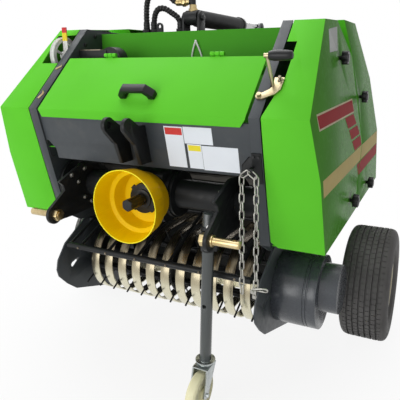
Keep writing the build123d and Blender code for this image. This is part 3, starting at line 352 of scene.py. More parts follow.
def make_finishes():
    """Every material, entered under the slot or the use that it is for."""
    paint("green_paint", GREEN, (0.34, 0.44), 0.05, 0.03)
    # the twine box's darker green is painted shade
    paint("box_painted_shade", BOX_SHADE_GREEN, (0.4, 0.5), 0.05, 0.05)
    paint("side_painted_shade", SIDE_SHADE_GREEN, (0.22, 0.3), 0.12, 0.007, 0.00001)
    paint("frame_grey", GREY, (0.36, 0.48), 0.08, 0.3, dust=DRY_GREY)
    paint("black_paint", BLACK, (0.34, 0.5), 0.12, 0.25, dust=DRY_BLACK)
    paint("drum_grey", (0.048, 0.054, 0.064), (0.24, 0.3), 0.08, 0.6, 0.00002)
    paint("leg_grey", (0.06, 0.068, 0.068), (0.2, 0.26), 0.08, 0.6, 0.00001)
    paint("cream_paint", (0.8, 0.74, 0.55), (0.3, 0.42), 0.04)
    plated("roller_steel", (0.1, 0.095, 0.085), (0.22, 0.21, 0.19), (0.45, 0.65), ALONG_X, 90)
    plated("galvanised_steel", (0.37, 0.335, 0.255), (0.57, 0.53, 0.42), (0.24, 0.32), ROUND_X,
           260, 0.95, 0.00003)
    bands_with_painted_reflection()
    plated("lever_zinc", (0.34, 0.28, 0.165), (0.62, 0.54, 0.36), (0.3, 0.42), height=0.00004)
    plated("fork_zinc", (0.34, 0.37, 0.37), (0.58, 0.61, 0.6), (0.24, 0.36), height=0.00005)
    plated("yellow_zinc", (0.4, 0.3, 0.13), (0.76, 0.62, 0.36), (0.26, 0.4), scale=45, height=0.00005)
    plated("chain_zinc", (0.28, 0.275, 0.25), (0.52, 0.51, 0.47), (0.3, 0.45), scale=70, height=0.00005)
    plated("brass_zinc", (0.45, 0.32, 0.14), (0.75, 0.6, 0.34), (0.25, 0.4), scale=45)
    plated("tray_steel", (0.15, 0.125, 0.095), (0.34, 0.29, 0.22), (0.35, 0.5))
    plated("bright_zinc", (0.5, 0.51, 0.52), (0.8, 0.8, 0.78), (0.22, 0.38))
    plated("hard_chrome", (0.4, 0.4, 0.41), (0.56, 0.56, 0.56), (0.08, 0.16), ALONG_Y, 120)
    moulded("yellow_plastic", (1.0, 0.655, 0.0), (0.3, 0.4), 0.03, gloss=0.1)
    # a deeper yellow for painted shade on the shield's outside and a paler one for painted highlight on its
    # rim
    moulded("yellow_painted_shade", (1.0, 0.56, 0.0), (0.3, 0.4), 0.03, gloss=0.1)
    moulded("yellow_painted_highlight", (1.0, 0.86, 0.02), (0.3, 0.4), 0.03, gloss=0.2)
    moulded("cream_nylon", (0.88, 0.84, 0.55))
    moulded("white_nylon", (0.82, 0.82, 0.8))
    banded_pointer()
    moulded("tyre_rubber", (0.13, 0.126, 0.124), (0.6, 0.78), 0.3, 0.0003, 0.2)
    moulded("hose_rubber", (0.007, 0.007, 0.007), (0.5, 0.65), 0.1, gloss=0.2)
    moulded("wrap_plastic", (0.03, 0.03, 0.031), (0.25, 0.35), 0.1)
    moulded("black_plastic", (0.01, 0.01, 0.011), (0.28, 0.42), 0.1, gloss=0.3)
    moulded("grey_plate", (0.36, 0.38, 0.36), (0.3, 0.45), 0.06, gloss=0.12)
    moulded("white_plate", (0.79, 0.83, 0.88), (0.25, 0.4), 0.03, gloss=0.3)
    moulded("red_sign", (0.62, 0.03, 0.02), (0.25, 0.4))
    moulded("yellow_sign", (0.85, 0.72, 0.02), (0.25, 0.4))
    moulded("red_stripe", (0.42, 0.035, 0.04), **STRIPE)
    moulded("gold_stripe", (0.68, 0.54, 0.22), **STRIPE)
    moulded("pale_stripe", (0.74, 0.66, 0.46), **{**STRIPE, "rough": (0.25, 0.38)})


# -------- modelling helpers
FILM_REACH = 0.03  # how far behind its corners a film still finds its face
FILM_FACING = 0.8  # how well a face must look the film's way, as a cosine
FOLD_Z = 0.862  # height of the covers' front fold, where the lid's slope starts
SLOPE = atan2(0.246, 0.254)
SLOPE_UP = Vector((0, cos(SLOPE), sin(SLOPE)))
SLOPE_OUT = Vector((0, -sin(SLOPE), cos(SLOPE)))


def at(x, y, z):
    """A place with y measured back from the covers' front fold."""
    return Vector((x, FRONT + y, z))


def on_slope(x, up):
    """A place on the flanges beside the lid, so far up from the fold."""
    return at(x, 0, FOLD_Z) + up * SLOPE_UP


def front_patch(across, heights, y):
    """The corners of an upright rectangle that looks to the front."""
    (x0, x1), (z0, z1) = across, heights
    return [at(x0, y, z0), at(x1, y, z0), at(x1, y, z1), at(x0, y, z1)]


def deselect():
    if bpy.context.object and bpy.context.object.mode != "OBJECT":
        leave_edit()
    bpy.ops.object.select_all(action="DESELECT")


def pick(*chosen):
    deselect()
    for piece in chosen:
        piece.select_set(True)
    bpy.context.view_layer.objects.active = chosen[0]


def settle(piece):
    """Puts a piece's place and turn into its mesh."""
    pick(piece)
    bpy.ops.object.transform_apply(location=True, rotation=True, scale=True)
    return piece


def named(name):
    piece = bpy.context.object
    piece.name = piece.data.name = name
    return piece


def edit(piece, test=None, kind="FACE"):
    """Edit mode, with the faces or points selected whose place and normal pass the test."""
    pick(piece)
    bpy.ops.object.mode_set(mode="EDIT")
    bpy.ops.mesh.select_mode(type=kind)
    bpy.ops.mesh.select_all(action="SELECT" if test is None else "DESELECT")
    if test is None:
        return
    shell = bmesh.from_edit_mesh(piece.data)
    for element in shell.faces if kind == "FACE" else shell.verts:
        middle = element.calc_center_median() if kind == "FACE" else element.co
        element.select = bool(test(middle, element.normal))
    shell.select_flush_mode()
    bmesh.update_edit_mesh(piece.data)


def leave_edit():
    bpy.ops.object.mode_set(mode="OBJECT")


def without(piece, test):
    """The piece less the faces that pass the test."""
    edit(piece, test)
    bpy.ops.mesh.delete(type="FACE")
    leave_edit()
    return piece


def sunk(piece, test, inset, depth):
    """The chosen faces inset and pushed down, or raised where the depth is negative."""
    edit(piece, test)
    bpy.ops.mesh.inset(thickness=inset)
    bpy.ops.transform.translate(value=(0, 0, -depth))
    leave_edit()
    return piece


def faces_up(place, normal):
    return normal.z > 0.9


def meshed(name, curve):
    """A curve turned into a mesh piece."""
    pick(curve)
    bpy.ops.object.convert(target="MESH")
    return named(name)


def closed(piece):
    """Doubles merged and faces turned outwards."""
    edit(piece)
    bpy.ops.mesh.remove_doubles(threshold=1e-6)
    bpy.ops.mesh.normals_make_consistent(inside=False)
    leave_edit()
    return piece


def rounded(piece, width, angle=30, segments=2):
    pick(piece)
    bevel = piece.modifiers.new("edges", "BEVEL")
    bevel.width = width
    bevel.segments = segments
    bevel.limit_method = "ANGLE"
    bevel.angle_limit = radians(angle)
    bpy.ops.object.modifier_apply(modifier=bevel.name)
    return piece


def joined(name, *parts):
    pick(*parts)
    if len(parts) > 1:
        bpy.ops.object.join()
    return named(name)


def dressed(piece, slot, finish=None, body="frame", angle=32):
    """Smooth shading, a finish, the slot's own if none is given, and the body that the piece rides on."""
    pick(piece)
    bpy.ops.object.shade_smooth_by_angle(angle=radians(angle))
    piece.data.materials.clear()
    piece.data.materials.append(FINISH[finish or slot])
    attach(piece, body)
    return piece


def primitive(name, kind, **shape):
    """A new piece of one of Blender's own kinds."""
    deselect()
    getattr(bpy.ops.mesh, f"primitive_{kind}_add")(**shape)
    return settle(named(name))


def block(name, low, high):
    middle = [(a + b) / 2 for a, b in zip(low, high)]
    return primitive(name, "cube", size=1, location=middle, scale=[b - a for a, b in zip(low, high)])


def hexagon(name, radius, height, middle):
    """A hexagon prism with its middle at a height."""
    return primitive(name, "cylinder", vertices=6, radius=radius, depth=height, location=(0, 0, middle))


def bar(name, start, end, radius, sides=20):
    """A round bar between two points."""
    start, end = Vector(start), Vector(end)
    turn = (end - start).to_track_quat("Z", "Y").to_euler()
    return primitive(name, "cylinder", vertices=sides, radius=radius, depth=(end - start).length,
                     location=(start + end) / 2, rotation=turn)


def turned(name, profile, centre=(0, 0, 0), axis="Z", sides=48, ring=False):
    """A body turned about a line through centre, from (along, radius) stations.

    A ring's stations run round its section; any other body is closed by its two end faces.
    """
    way = Vector([float(axis == letter) for letter in "XYZ"])
    turn = {"X": (0, pi / 2, 0), "Y": (-pi / 2, 0, 0), "Z": (0, 0, 0)}[axis]
    centre = Vector(centre)
    along, radius = profile[0]
    piece = primitive(name, "circle", vertices=sides, radius=radius, location=centre + along * way,
                      rotation=turn, fill_type="NOTHING" if ring else "NGON")
    edit(piece, kind="VERT" if ring else "FACE")
    stations = profile[1:] + profile[:1] if ring else profile[1:]
    for next_along, next_radius in stations:
        bpy.ops.mesh.extrude_region_move(TRANSFORM_OT_translate={"value": (next_along - along) * way})
        size = next_radius / radius
        bpy.ops.transform.resize(value=(size, size, size), center_override=centre + next_along * way)
        along, radius = next_along, next_radius
    return closed(piece)


def welded(node, name):
    """A copy of a CAD node's mesh with its points merged and its flat faces whole."""
    mesh = frame["nodes"][node].data.copy()
    mesh.name = name
    piece = placed(name, mesh)
    edit(piece)
    bpy.ops.mesh.remove_doubles(threshold=2e-6)
    bpy.ops.mesh.dissolve_limited(angle_limit=radians(0.5))
    leave_edit()
    return piece


def softened(node, width, finish):
    """A CAD node's own shape with its sharp edges rounded."""
    piece = rounded(welded(node, node + "_body"), width)
    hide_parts(node)
    return dressed(piece, NODE_SLOT[node], finish, NODE_BODY[node])


def film(name, node, way, corners, finish, slot, thickness):
    """A thin film laid on a CAD node: the patch inside the corners on its faces that look one way."""
    way, middle = Vector(way), sum(map(Vector, corners), Vector()) / len(corners)
    piece = without(welded(node, name), lambda place, normal: normal.dot(way) < FILM_FACING)
    edit(piece)
    for start, end in zip(corners, corners[1:] + corners[:1]):
        outward = (Vector(end) - Vector(start)).cross(way)
        if outward.dot(middle - Vector(start)) > 0:
            outward.negate()
        bpy.ops.mesh.select_all(action="SELECT")
        bpy.ops.mesh.bisect(plane_co=start, plane_no=outward, clear_outer=True)
    leave_edit()
    near = (middle - FILM_REACH * way).dot(way)
    pick(without(piece, lambda place, normal: place.dot(way) < near))
    wall = piece.modifiers.new("thickness", "SOLIDIFY")
    wall.thickness = thickness
    wall.offset = 1
    bpy.ops.object.modifier_apply(modifier=wall.name)
    return dressed(piece, slot, finish, NODE_BODY[node])


def round_x(count, phase):
    """Directions spaced evenly round the X axis."""
    turns = [2 * pi * i / count + phase for i in range(count)]
    return [Vector((0, cos(turn), sin(turn))) for turn in turns]


def facing(point, way):
    """The place of a copy that stands on a point and points along a direction."""
    return Matrix.Translation(point) @ Vector(way).to_track_quat("Z", "Y").to_matrix().to_4x4()


def copies(name, master, places):
    """A master piece copied to each of the places, joined into one; the master goes."""
    made = []
    for place in places:
        twin = master.copy()
        twin.data = master.data.copy()
        twin.data.transform(place)
        bpy.context.scene.collection.objects.link(twin)
        made.append(twin)
    bpy.data.objects.remove(master)
    return joined(name, *made)


def hex_bolt(size):
    """A hex head on its washer, standing on z = 0, in shares of the head's radius."""
    washer_radius, washer_height = size * 1.25, size * 0.14
    washer = turned("washer", [(0, washer_radius), (washer_height, washer_radius)], sides=20)
    head = hexagon("head", size, size * 0.7, size * 0.45)
    sunk(head, faces_up, size * 0.12, -size * 0.08)
    return rounded(joined("bolt_master", head, washer), size * 0.05, 40, 1)


def bolts(name, places, size, finish="bright_zinc", body="frame"):
    made = copies(name, hex_bolt(size), [facing(point, way) for point, way in places])
    return dressed(made, "zinc", finish, body)


make_finishes()
for node, piece in frame["nodes"].items():
    piece.data.materials.clear()
    piece.data.materials.append(FINISH[NODE_SLOT[node]])


# -------- hoses
HOSE_R = 0.009
WRAP_PITCH = 0.01
WRAP_WIRE = 0.0021
WRAP_BITE = 0.2  # share of the wire's radius that is pressed into the hose
WRAP_STEPS = 12  # points in one turn of the wire
WRAP_CLEAR = 0.026  # bare hose at each end, under the fittings
FEED_ROUTE = ((-0.177, -0.10475, 1.1073), (-0.177, -0.10475, 1.152), (-0.173, -0.10375, 1.2),
              (-0.15, -0.10175, 1.238), (-0.11, -0.09875, 1.244), (-0.086, -0.09475, 1.212),
              (-0.068, -0.09275, 1.19), (-0.0383, -0.09275, 1.19))
RETURN_ROUTE = ((-0.15, -0.10075, 1.1073), (-0.15, -0.10075, 1.14), (-0.136, -0.10075, 1.172),
                (-0.108, -0.09975, 1.176), (-0.08, -0.09275, 1.157), (-0.054, -0.08575, 1.138),
                (-0.054, -0.08575, 1.1073))
# name, route, length, finish of the fitting at the far end
HOSES = (("hose_feed", FEED_ROUTE, 0.2665, "yellow_zinc"),
         ("hose_return", RETURN_ROUTE, 0.1862, "black_paint"))
# turned shapes as (along, radius) stations
FERRULE = ((0, 0.01), (0.003, 0.0112), (0.007, 0.0112), (0.008, 0.0104), (0.011, 0.0104),
           (0.012, 0.0112), (0.016, 0.0112), (0.017, 0.0104), (0.02, 0.0104), (0.021, 0.011),
           (0.024, 0.01))
END_NUT = {"radius": 0.015, "height": 0.012, "middle": -0.006}
PORT_UNION = ((0.001, 0.0092), (0.0015, 0.0105), (0.006, 0.0105), (0.0065, 0.0128), (0.015, 0.0128),
              (0.0155, 0.01), (0.027, 0.0096))
PORT_NECK = ((-0.034, 0.0112), (-0.033, 0.015), (-0.022, 0.015), (-0.021, 0.0118), (-0.01, 0.0118),
             (-0.0095, 0.0106))


def wire(name, kind, points, radius, facets):
    """A curve of one open spline through or near points, round in section."""
    line = bpy.data.curves.new(name, "CURVE")
    line.dimensions = "3D"
    line.bevel_depth = radius
    line.bevel_resolution = facets
    spline = line.splines.new(kind)
    spline.points.add(len(points) - 1)
    for point, place in zip(spline.points, points):
        point.co = (*place, 1)
    return line


def route_curve(name, route, radius):
    """A smooth curve along a hose's route."""
    line = wire(name, "NURBS", route, radius, 5)
    spline = line.splines[0]
    line.resolution_u = 16
    line.use_fill_caps = radius > 0
    spline.order_u = 3
    spline.use_endpoint_u = True
    return placed(name, line)


def followed(route):
    """Points along the middle of a hose, read from its own curve."""
    guide = route_curve("guide", route, 0)
    mesh = bpy.data.meshes.new_from_object(guide)
    points = [vertex.co.copy() for vertex in mesh.vertices]
    bpy.data.objects.remove(guide)
    bpy.data.meshes.remove(mesh)
    return points


def spiral_wrap(name, route):
    """The wire of a hose's spiral guard, kept clear of the fittings at both ends."""
    points = followed(route)
    travelled = [0.0]
    for start, end in zip(points, points[1:]):
        travelled.append(travelled[-1] + (end - start).length)
    across = Vector((0, 1, 0))
    step = WRAP_PITCH / WRAP_STEPS
    coil, i, reach = [], 0, WRAP_CLEAR
    while reach < travelled[-1] - WRAP_CLEAR:
        while travelled[i + 1] < reach:
            i += 1
        share = (reach - travelled[i]) / (travelled[i + 1] - travelled[i])
        middle = points[i].lerp(points[i + 1], share)
        along = (points[i + 1] - points[i]).normalized()
        side = along.cross(across).normalized()
        rise = side.cross(along)
        turn = 2 * pi * len(coil) / WRAP_STEPS
        coil.append(middle + (HOSE_R - WRAP_WIRE * WRAP_BITE) * (side * cos(turn) + rise * sin(turn)))
        reach += step
    return meshed(name, placed(name, wire(name, "POLY", coil, WRAP_WIRE, 1)))


def ferrule(name, place, way):
    """A crimped hose end with its hexagon nut."""
    sleeve = turned("sleeve", FERRULE, sides=28)
    end_nut = rounded(hexagon("nut", **END_NUT), 0.0012, 40, 2)
    return copies(name, joined("end_master", end_nut, sleeve), [facing(place, way)])


def hoses():
    for name, route, length, far_finish in HOSES:
        hose = route_curve(name + "_line", route, HOSE_R)
        hose.data.materials.append(FINISH["hose_rubber"])
        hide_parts(name)
        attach(hose, "frame")
        wrap = dressed(spiral_wrap(name + "_wrap", route), "hose_rubber", "wrap_plastic")
        ends = [ferrule(name + "_end_a", route[0], Vector(route[1]) - Vector(route[0])),
                ferrule(name + "_end_b", route[-1], Vector(route[-2]) - Vector(route[-1]))]
        for end, finish in zip(ends, ("black_paint", far_finish)):
            dressed(end, finish)
    port = Vector(FEED_ROUTE[-1])
    union = turned("port_union", PORT_UNION, port, "X", 28)
    neck = turned("port_neck", PORT_NECK, (0, port.y, port.z), "Z", 6)
    dressed(joined("port_fittings", union, neck), "yellow_zinc")


# -------- sheet metal and castings
def pair(name):
    """The left and the right node of a name."""
    return [f"{name}_{side}" for side, _ in SIDES]


# width of the rounding, and the nodes that get it
SOFT_EDGES = {
    0.0006: ("twine_box", "lid_rail", "pickup_pan", "bale_indicator", *pair("hitch_pin")),
    0.0008: (*pair("side_plate"), "front_panel", "twine_lid", *pair("front_cover"), *pair("tail_cover"),
             *pair("tail_plate"), *pair("pickup_side"), "pickup_bands", "pto_shield", "jockey_leg",
             "caster_fork", "cylinder_rod", "twine_guide", "pto_shaft"),
    0.0012: ("toplink_ears", "front_cover_knobs", "tail_cover_knobs", "tail_beam", "top_beam",
             *pair("hitch_plate"), "cylinder_barrel", "caster_wheel", *pair("shaft_tube")),
    0.0018: ("gearbox", *pair("rim"), "axle_beam", "pickup_drum", "lid_handle"),
}
OWN_FINISH = {
    "bale_indicator": "pointer_bands",
    "twine_box": "box_painted_shade",
    "caster_fork": "fork_zinc",
    "pickup_bands": "band_painted_reflection",
    "jockey_leg": "leg_grey",
    "pickup_drum": "drum_grey",
    "pto_shaft": "black_paint",
}
SIDE_FACING = 0.6  # how well a cover's face must look sideways to be its side, as a cosine
SHIELD_RIM = 0.0016  # depth of the shield's rim, which is paler with painted highlight
SHIELD_OUTWARD = 0.05  # from this on, in metres off the axis times cosine, a face is the shield's outside, which is deeper yellow with painted shade


def paint_side_shade(piece, sign):
    """A cover's flat outer face in a darker green, which is painted shade."""
    piece.data.materials.append(FINISH["side_painted_shade"])
    for face in piece.data.polygons:
        face.material_index = int(sign * face.normal.x > SIDE_FACING)


def paint_shield_light(piece):
    """A paler rim as painted highlight and a deeper yellow outside as painted shade on the guard of the
    input shaft.
    """
    low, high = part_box("pto_shield")
    axis = (low + high) / 2
    inside, rim, outside = range(3)
    piece.data.materials.append(FINISH["yellow_painted_highlight"])
    piece.data.materials.append(FINISH["yellow_painted_shade"])
    for face in piece.data.polygons:
        away = face.center - axis
        outward = away.x * face.normal.x + away.z * face.normal.z
        on_rim = face.center.y < low.y + SHIELD_RIM
        face.material_index = rim if on_rim else outside if outward > SHIELD_OUTWARD else inside


def soften_all():
    made = {}
    for width, nodes in SOFT_EDGES.items():
        for node in nodes:
            made[node] = softened(node, width, OWN_FINISH.get(node))
    for side, sign in SIDES:
        for part in ("front", "tail"):
            paint_side_shade(made[f"{part}_cover_{side}"], sign)
    paint_shield_light(made["pto_shield"])


# -------- wheels
TYRE_SIDES = 320
SIPE_EVERY = 5
SIPE_SHIFT = 2  # steps by which the cuts of neighbouring ribs differ
SIPE_DEPTH = 0.002
TREAD_HALF = 0.062
TREAD_SKIN = 0.0025  # faces within this of the radius are the tread's
TREAD_GROOVE = 0.0075
GROOVE_HALF = 0.003
GROOVE_SLANT = 0.001
RIB_EDGES = (0.048, 0.029, 0.01)  # middles of the tread grooves, from the tyre's middle
# one half of the tyre's section below the tread, as (along, radius) stations from the bead out
SIDEWALL = ((0.0625, 0.1033), (0.0625, 0.112), (0.0662, 0.1185), (0.0735, 0.126), (0.076, 0.1285),
            (0.077, 0.134), (0.0795, 0.142), (0.0812, 0.151), (0.0818, 0.16), (0.0812, 0.17),
            (0.0795, 0.179), (0.0768, 0.1865), (0.0735, 0.1925), (0.069, 0.197), (0.063, 0.1998))
WHEEL_NUTS = 5
NUT_PHASE = 0.3
NUT_CIRCLE = 0.044
NUT_FACE = 0.022  # places along the axle, out from the tyre's middle
CAP_FACE = 0.04
VALVE_FACE = 0.018
VALVE_DOWN = 0.086
VALVE_LEAN = 0.5
HUB_CAP = ((0, 0.0275), (0.006, 0.0275), (0.009, 0.0262), (0.0135, 0.0225), (0.015, 0.016))
VALVE = ((0, 0.0042), (0.01, 0.0042), (0.012, 0.003), (0.026, 0.003), (0.027, 0.004), (0.034, 0.004))


def tyre(side):
    """Ribbed implement tyre: round sidewalls, tread grooves and fine cuts across the ribs."""
    low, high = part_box("tyre_" + side)
    middle, radius = (low + high) / 2, (high.z - low.z) / 2
    half, bottom = list(SIDEWALL), radius - TREAD_GROOVE
    for edge in RIB_EDGES:
        half += [(edge + GROOVE_HALF, radius), (edge + GROOVE_HALF - GROOVE_SLANT, bottom),
                 (edge - GROOVE_HALF + GROOVE_SLANT, bottom), (edge - GROOVE_HALF, radius)]
    profile = half + [(-along, r) for along, r in reversed(half)]
    piece = turned(f"tyre_{side}_body", profile, middle, "X", TYRE_SIDES, ring=True)

    def on_cut(place, normal):
        away = place - middle
        if hypot(away.y, away.z) < radius - TREAD_SKIN or abs(away.x) > TREAD_HALF:
            return False
        turn = atan2(away.z, away.y) / (2 * pi) * TYRE_SIDES
        shift = SIPE_SHIFT * sum(abs(away.x) > edge for edge in RIB_EDGES)
        return int(turn + TYRE_SIDES + shift) % SIPE_EVERY == 0
    edit(piece, on_cut)
    bpy.ops.mesh.extrude_region_move()
    bpy.ops.transform.shrink_fatten(value=-SIPE_DEPTH)
    leave_edit()
    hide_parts("tyre_" + side)
    dressed(piece, "tyre_rubber", body="wheel_" + side, angle=40)


def wheel_fittings(side, sign):
    """Nuts, hub cap and valve of a wheel."""
    low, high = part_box("tyre_" + side)
    middle, out, body = (low + high) / 2, Vector((sign, 0, 0)), "wheel_" + side
    nuts = [(middle + NUT_FACE * out + NUT_CIRCLE * way, out) for way in round_x(WHEEL_NUTS, NUT_PHASE)]
    bolts(f"wheel_nuts_{side}", nuts, 0.0085, body=body)
    valve_place = facing(middle + Vector((sign * VALVE_FACE, 0, -VALVE_DOWN)), (sign, 0, VALVE_LEAN))
    for name, profile, sides, place in (("hub_cap", HUB_CAP, 40, facing(middle + CAP_FACE * out, out)),
                                        ("valve", VALVE, 16, valve_place)):
        made = copies(f"{name}_{side}", turned(name, profile, sides=sides), [place])
        dressed(made, "black_plastic", body=body)


# -------- chains
CHAIN_X = (0.333, 0.373)
CHAIN_LINKS = (14, 13)
CHAIN_TOP = 0.70335  # middle of the first upright link
LINK_WIRE = 0.0042
LINK_WIDTH = 0.0165
LINK_LENGTH = 0.0314
LINK_PITCH = LINK_LENGTH - 2 * LINK_WIRE
LINK_TURNS = (48, -40)  # how far even and odd links are turned, in degrees,
LINK_WAVER = (0.1, 2.1)  # and a waver on that, in radians: its size and its step
HOOK_X = 0.353
HOOK_Y = -0.002
HOOK_Z = 0.733
HOOK_HALF = 0.012
HOOK_BACK = 0.028
SLING_Z = 0.722  # middle of the slanting links that hang from the hook
SLING_DROP = 0.016  # their height, which with their way sideways gives the slant
SLING_TURN = 25
CHAIN_PLATE = ((0.3515, 0.3775), (0.69, 0.772))
CHAIN_PLATE_BOLTS = ((0.357, 0.0195, 0.762), (0.371, 0.0195, 0.762))
GUSSET = ((0.3165, 0.0378, 0.7), (0.35, 0.043, 0.792))
# the shackle's bow, pin, nuts and strap, from a point under the outer chain's last link
SHACKLE_DROP = 0.012
SHACKLE_BOW = ((-0.006, -0.01, 0.001), (0.01, -0.009, 0.004), (0.026, -0.006, 0.006), (0.034, 0.0, 0.001),
               (0.029, 0.004, -0.008), (0.012, 0.006, -0.009), (-0.004, 0.006, -0.01))
SHACKLE_PIN = ((-0.004, -0.016, -0.003), (-0.004, 0.014, -0.007))
SHACKLE_NUTS = ((-0.004, -0.014, -0.004), (-0.004, 0.0, -0.024))
SHACKLE_STRAP = ((-0.009, -0.0015, -0.032), (0.001, 0.0005, -0.002))


def link_master():
    """One upright link: a torus drawn out lengthwise."""
    link = primitive("link", "torus", major_radius=(LINK_WIDTH - LINK_WIRE) / 2, minor_radius=LINK_WIRE / 2,
                     major_segments=20, minor_segments=10, rotation=(pi / 2, 0, 0))
    for side in (-1, 1):
        edit(link, lambda place, normal: place.z * side > 0.0001, "VERT")
        bpy.ops.transform.translate(value=(0, 0, side * (LINK_LENGTH - LINK_WIDTH) / 2))
        leave_edit()
    return link


def chains():
    """Round-wire links hanging from a black hook plate on the right-hand flange."""
    link, places = link_master(), []
    waver, step = LINK_WAVER
    for x, links in zip(CHAIN_X, CHAIN_LINKS):
        lean = atan2(x - HOOK_X, SLING_DROP)
        hung = Matrix.Translation(at((x + HOOK_X) / 2, HOOK_Y, SLING_Z)) @ Matrix.Rotation(-lean, 4, "Y")
        places.append(hung @ Matrix.Rotation(radians(SLING_TURN), 4, "Z"))
        for i in range(links):
            turn = radians(LINK_TURNS[i % 2]) + waver * sin(step * i)
            hanging = Matrix.Translation(at(x, 0, CHAIN_TOP - i * LINK_PITCH))
            places.append(hanging @ Matrix.Rotation(turn, 4, "Z"))
    made = copies("chain_links", link, places)
    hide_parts("safety_chains")
    dressed(made, "zinc", "chain_zinc", angle=60)
    rod_ends = [at(HOOK_X + way * HOOK_HALF, HOOK_Y, HOOK_Z) for way in (-1, 1)]
    rod = bar("hook_rod", *rod_ends, 0.003)
    stem = bar("hook_stem", at(HOOK_X, HOOK_Y, HOOK_Z), at(HOOK_X, HOOK_BACK, HOOK_Z), 0.004)
    hook = joined("chain_hook", rod, stem)
    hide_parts("safety_chains")
    dressed(hook, "black_paint")
    film("chain_plate", "side_plate_right", (0, -1, 0), front_patch(*CHAIN_PLATE, 0.03), "black_paint",
         "black_paint", 0.004)
    gusset = rounded(block("chain_gusset", *(at(*corner) for corner in GUSSET)), 0.0006)
    dressed(gusset, "black_paint")
    bolts("chain_plate_bolts", [(at(*place), (0, -1, 0)) for place in CHAIN_PLATE_BOLTS], 0.0042,
          "black_paint")


def shackle():
    """Bent wire shackle with its nuts and strap at the lower end of the outer chain."""
    hang = at(CHAIN_X[1], 0, CHAIN_TOP - (CHAIN_LINKS[1] - 1) * LINK_PITCH - SHACKLE_DROP)

    def off(shape):
        return [hang + Vector(place) for place in shape]
    bow = meshed("shackle_bow", route_curve("shackle_bow", off(SHACKLE_BOW), 0.0024))
    pin = bar("shackle_pin", *off(SHACKLE_PIN), 0.0032, 12)
    dressed(joined("chain_shackle", bow, pin), "zinc", "chain_zinc")
    bolts("shackle_nuts", [(place, (0, -1, 0)) for place in off(SHACKLE_NUTS)], 0.0052, "chain_zinc")
    dressed(rounded(block("shackle_strap", *off(SHACKLE_STRAP)), 0.0005), "zinc", "chain_zinc")


# -------- crank, pulley, small fittings
BOSS = (0.404, 0.121)  # the lever's upper boss: its x and its way up the slope
BOSS_RADIUS = 0.0088
BOSS_CUT = 0.0058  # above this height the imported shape's plain pin is cut off,
BOSS_TOP = 0.0052  # and a threaded stud takes its place
STUD = ((0, 0.0052), (0.002, 0.0052), (0.0025, 0.003), (0.009, 0.003), (0.0095, 0.0045), (0.013, 0.0045),
        (0.0145, 0.003))
GRIP_START = 0.039  # the grip's room, from the lever's inner end and down from its top
GRIP_DEPTH = 0.04
GRIP_LENGTH = 0.06
GRIP_RADIUS = 0.013
GRIP = ((0, 0.0085), (0.001, 0.0105), (0.006, 0.0118), (0.014, 0.0128), (0.03, GRIP_RADIUS), (0.046, 0.0122),
        (0.054, 0.011), (0.0585, 0.0085), (GRIP_LENGTH, 0.005))


def crank():
    """The bent lever with its rod and stud in zinc, and a tapered black grip."""
    low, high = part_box("hand_crank")
    lever = without(welded("hand_crank", "crank_lever"),
                    lambda place, normal: place.x > low.x + GRIP_START and place.z > high.z - GRIP_DEPTH)
    knob = on_slope(*BOSS)

    def on_knob(place, normal):
        away = place - knob
        height = away.dot(SLOPE_OUT)
        return height > BOSS_CUT and (away - height * SLOPE_OUT).length < BOSS_RADIUS
    edit(without(lever, on_knob))
    bpy.ops.mesh.fill_holes(sides=0)
    leave_edit()
    rounded(lever, 0.0006)
    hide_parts("hand_crank")
    stud = turned("stud", STUD, sides=20)
    stud = copies("crank_stud", stud, [facing(knob + BOSS_TOP * SLOPE_OUT, SLOPE_OUT)])
    dressed(stud, "zinc", "tray_steel")
    dressed(lever, "zinc", "lever_zinc")
    start = (high.x - GRIP_LENGTH, low.y + GRIP_RADIUS, high.z - GRIP_RADIUS)
    grip = turned("crank_grip", GRIP, start, "X", 36)
    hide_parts("hand_crank")
    dressed(grip, "black_plastic")


PULLEY_HALF = 0.009
PULLEY_FLANGE = 0.007
PULLEY_SEAT = 0.002  # half width of the groove's bottom
PULLEY_EDGE = 0.002
PULLEY_GROOVE = 0.007
PULLEY_RIM = 0.014
PULLEY_HUB = ((-0.009, 0.006), (-0.0085, 0.0135), (-0.006, 0.015), (0.009, 0.015))
SPOKES = 5
SPOKE_PHASE = 0.2
SPOKE_FROM = 0.012
SPOKE_TO_RIM = 0.011
SPOKE_RADIUS = 0.0042


def pulley():
    """Open twine wheel: grooved rim, spokes and a hub on its axle."""
    low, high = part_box("twine_pulley")
    centre = Vector((low.x + PULLEY_HALF, (low.y + high.y) / 2, (low.z + high.z) / 2))
    radius = (high.z - low.z) / 2
    half = [(PULLEY_SEAT, radius - PULLEY_GROOVE), (PULLEY_FLANGE, radius),
            (PULLEY_HALF, radius - PULLEY_EDGE), (PULLEY_HALF, radius - PULLEY_RIM)]
    section = [(-along, r) for along, r in reversed(half)] + half
    parts = [turned("pulley_rim", section, centre, "X", 72, ring=True),
             turned("pulley_hub", PULLEY_HUB, centre, "X", 36)]
    for away in round_x(SPOKES, SPOKE_PHASE):
        parts.append(bar("spoke", centre + SPOKE_FROM * away, centre + (radius - SPOKE_TO_RIM) * away,
                         SPOKE_RADIUS, 12))
    wheel = joined("pulley_wheel", *parts)
    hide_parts("twine_pulley")
    dressed(wheel, "cream_plastic", "white_nylon")
    axle = bar("pulley_axle", centre + Vector((0.008, 0, 0)), (high.x, centre.y, centre.z), 0.0075)
    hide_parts("twine_pulley")
    dressed(axle, "zinc", "bright_zinc")
    bolts("pulley_nut", [(centre - Vector((0.0088, 0, 0)), (-1, 0, 0))], 0.0065)


TRAY_EDGE = 0.002
TRAY_END = -0.262
TRAY_FROM_TOP = (0.01, 0.0065)
EYE_X = 0.035
EYE_HALF = ((-0.018, 0.3255, 1.01), (-0.017, 0.3225, 1.022), (-0.003, 0.319, 1.056))
EYE_TOP = (0, 0.3185, 1.066)
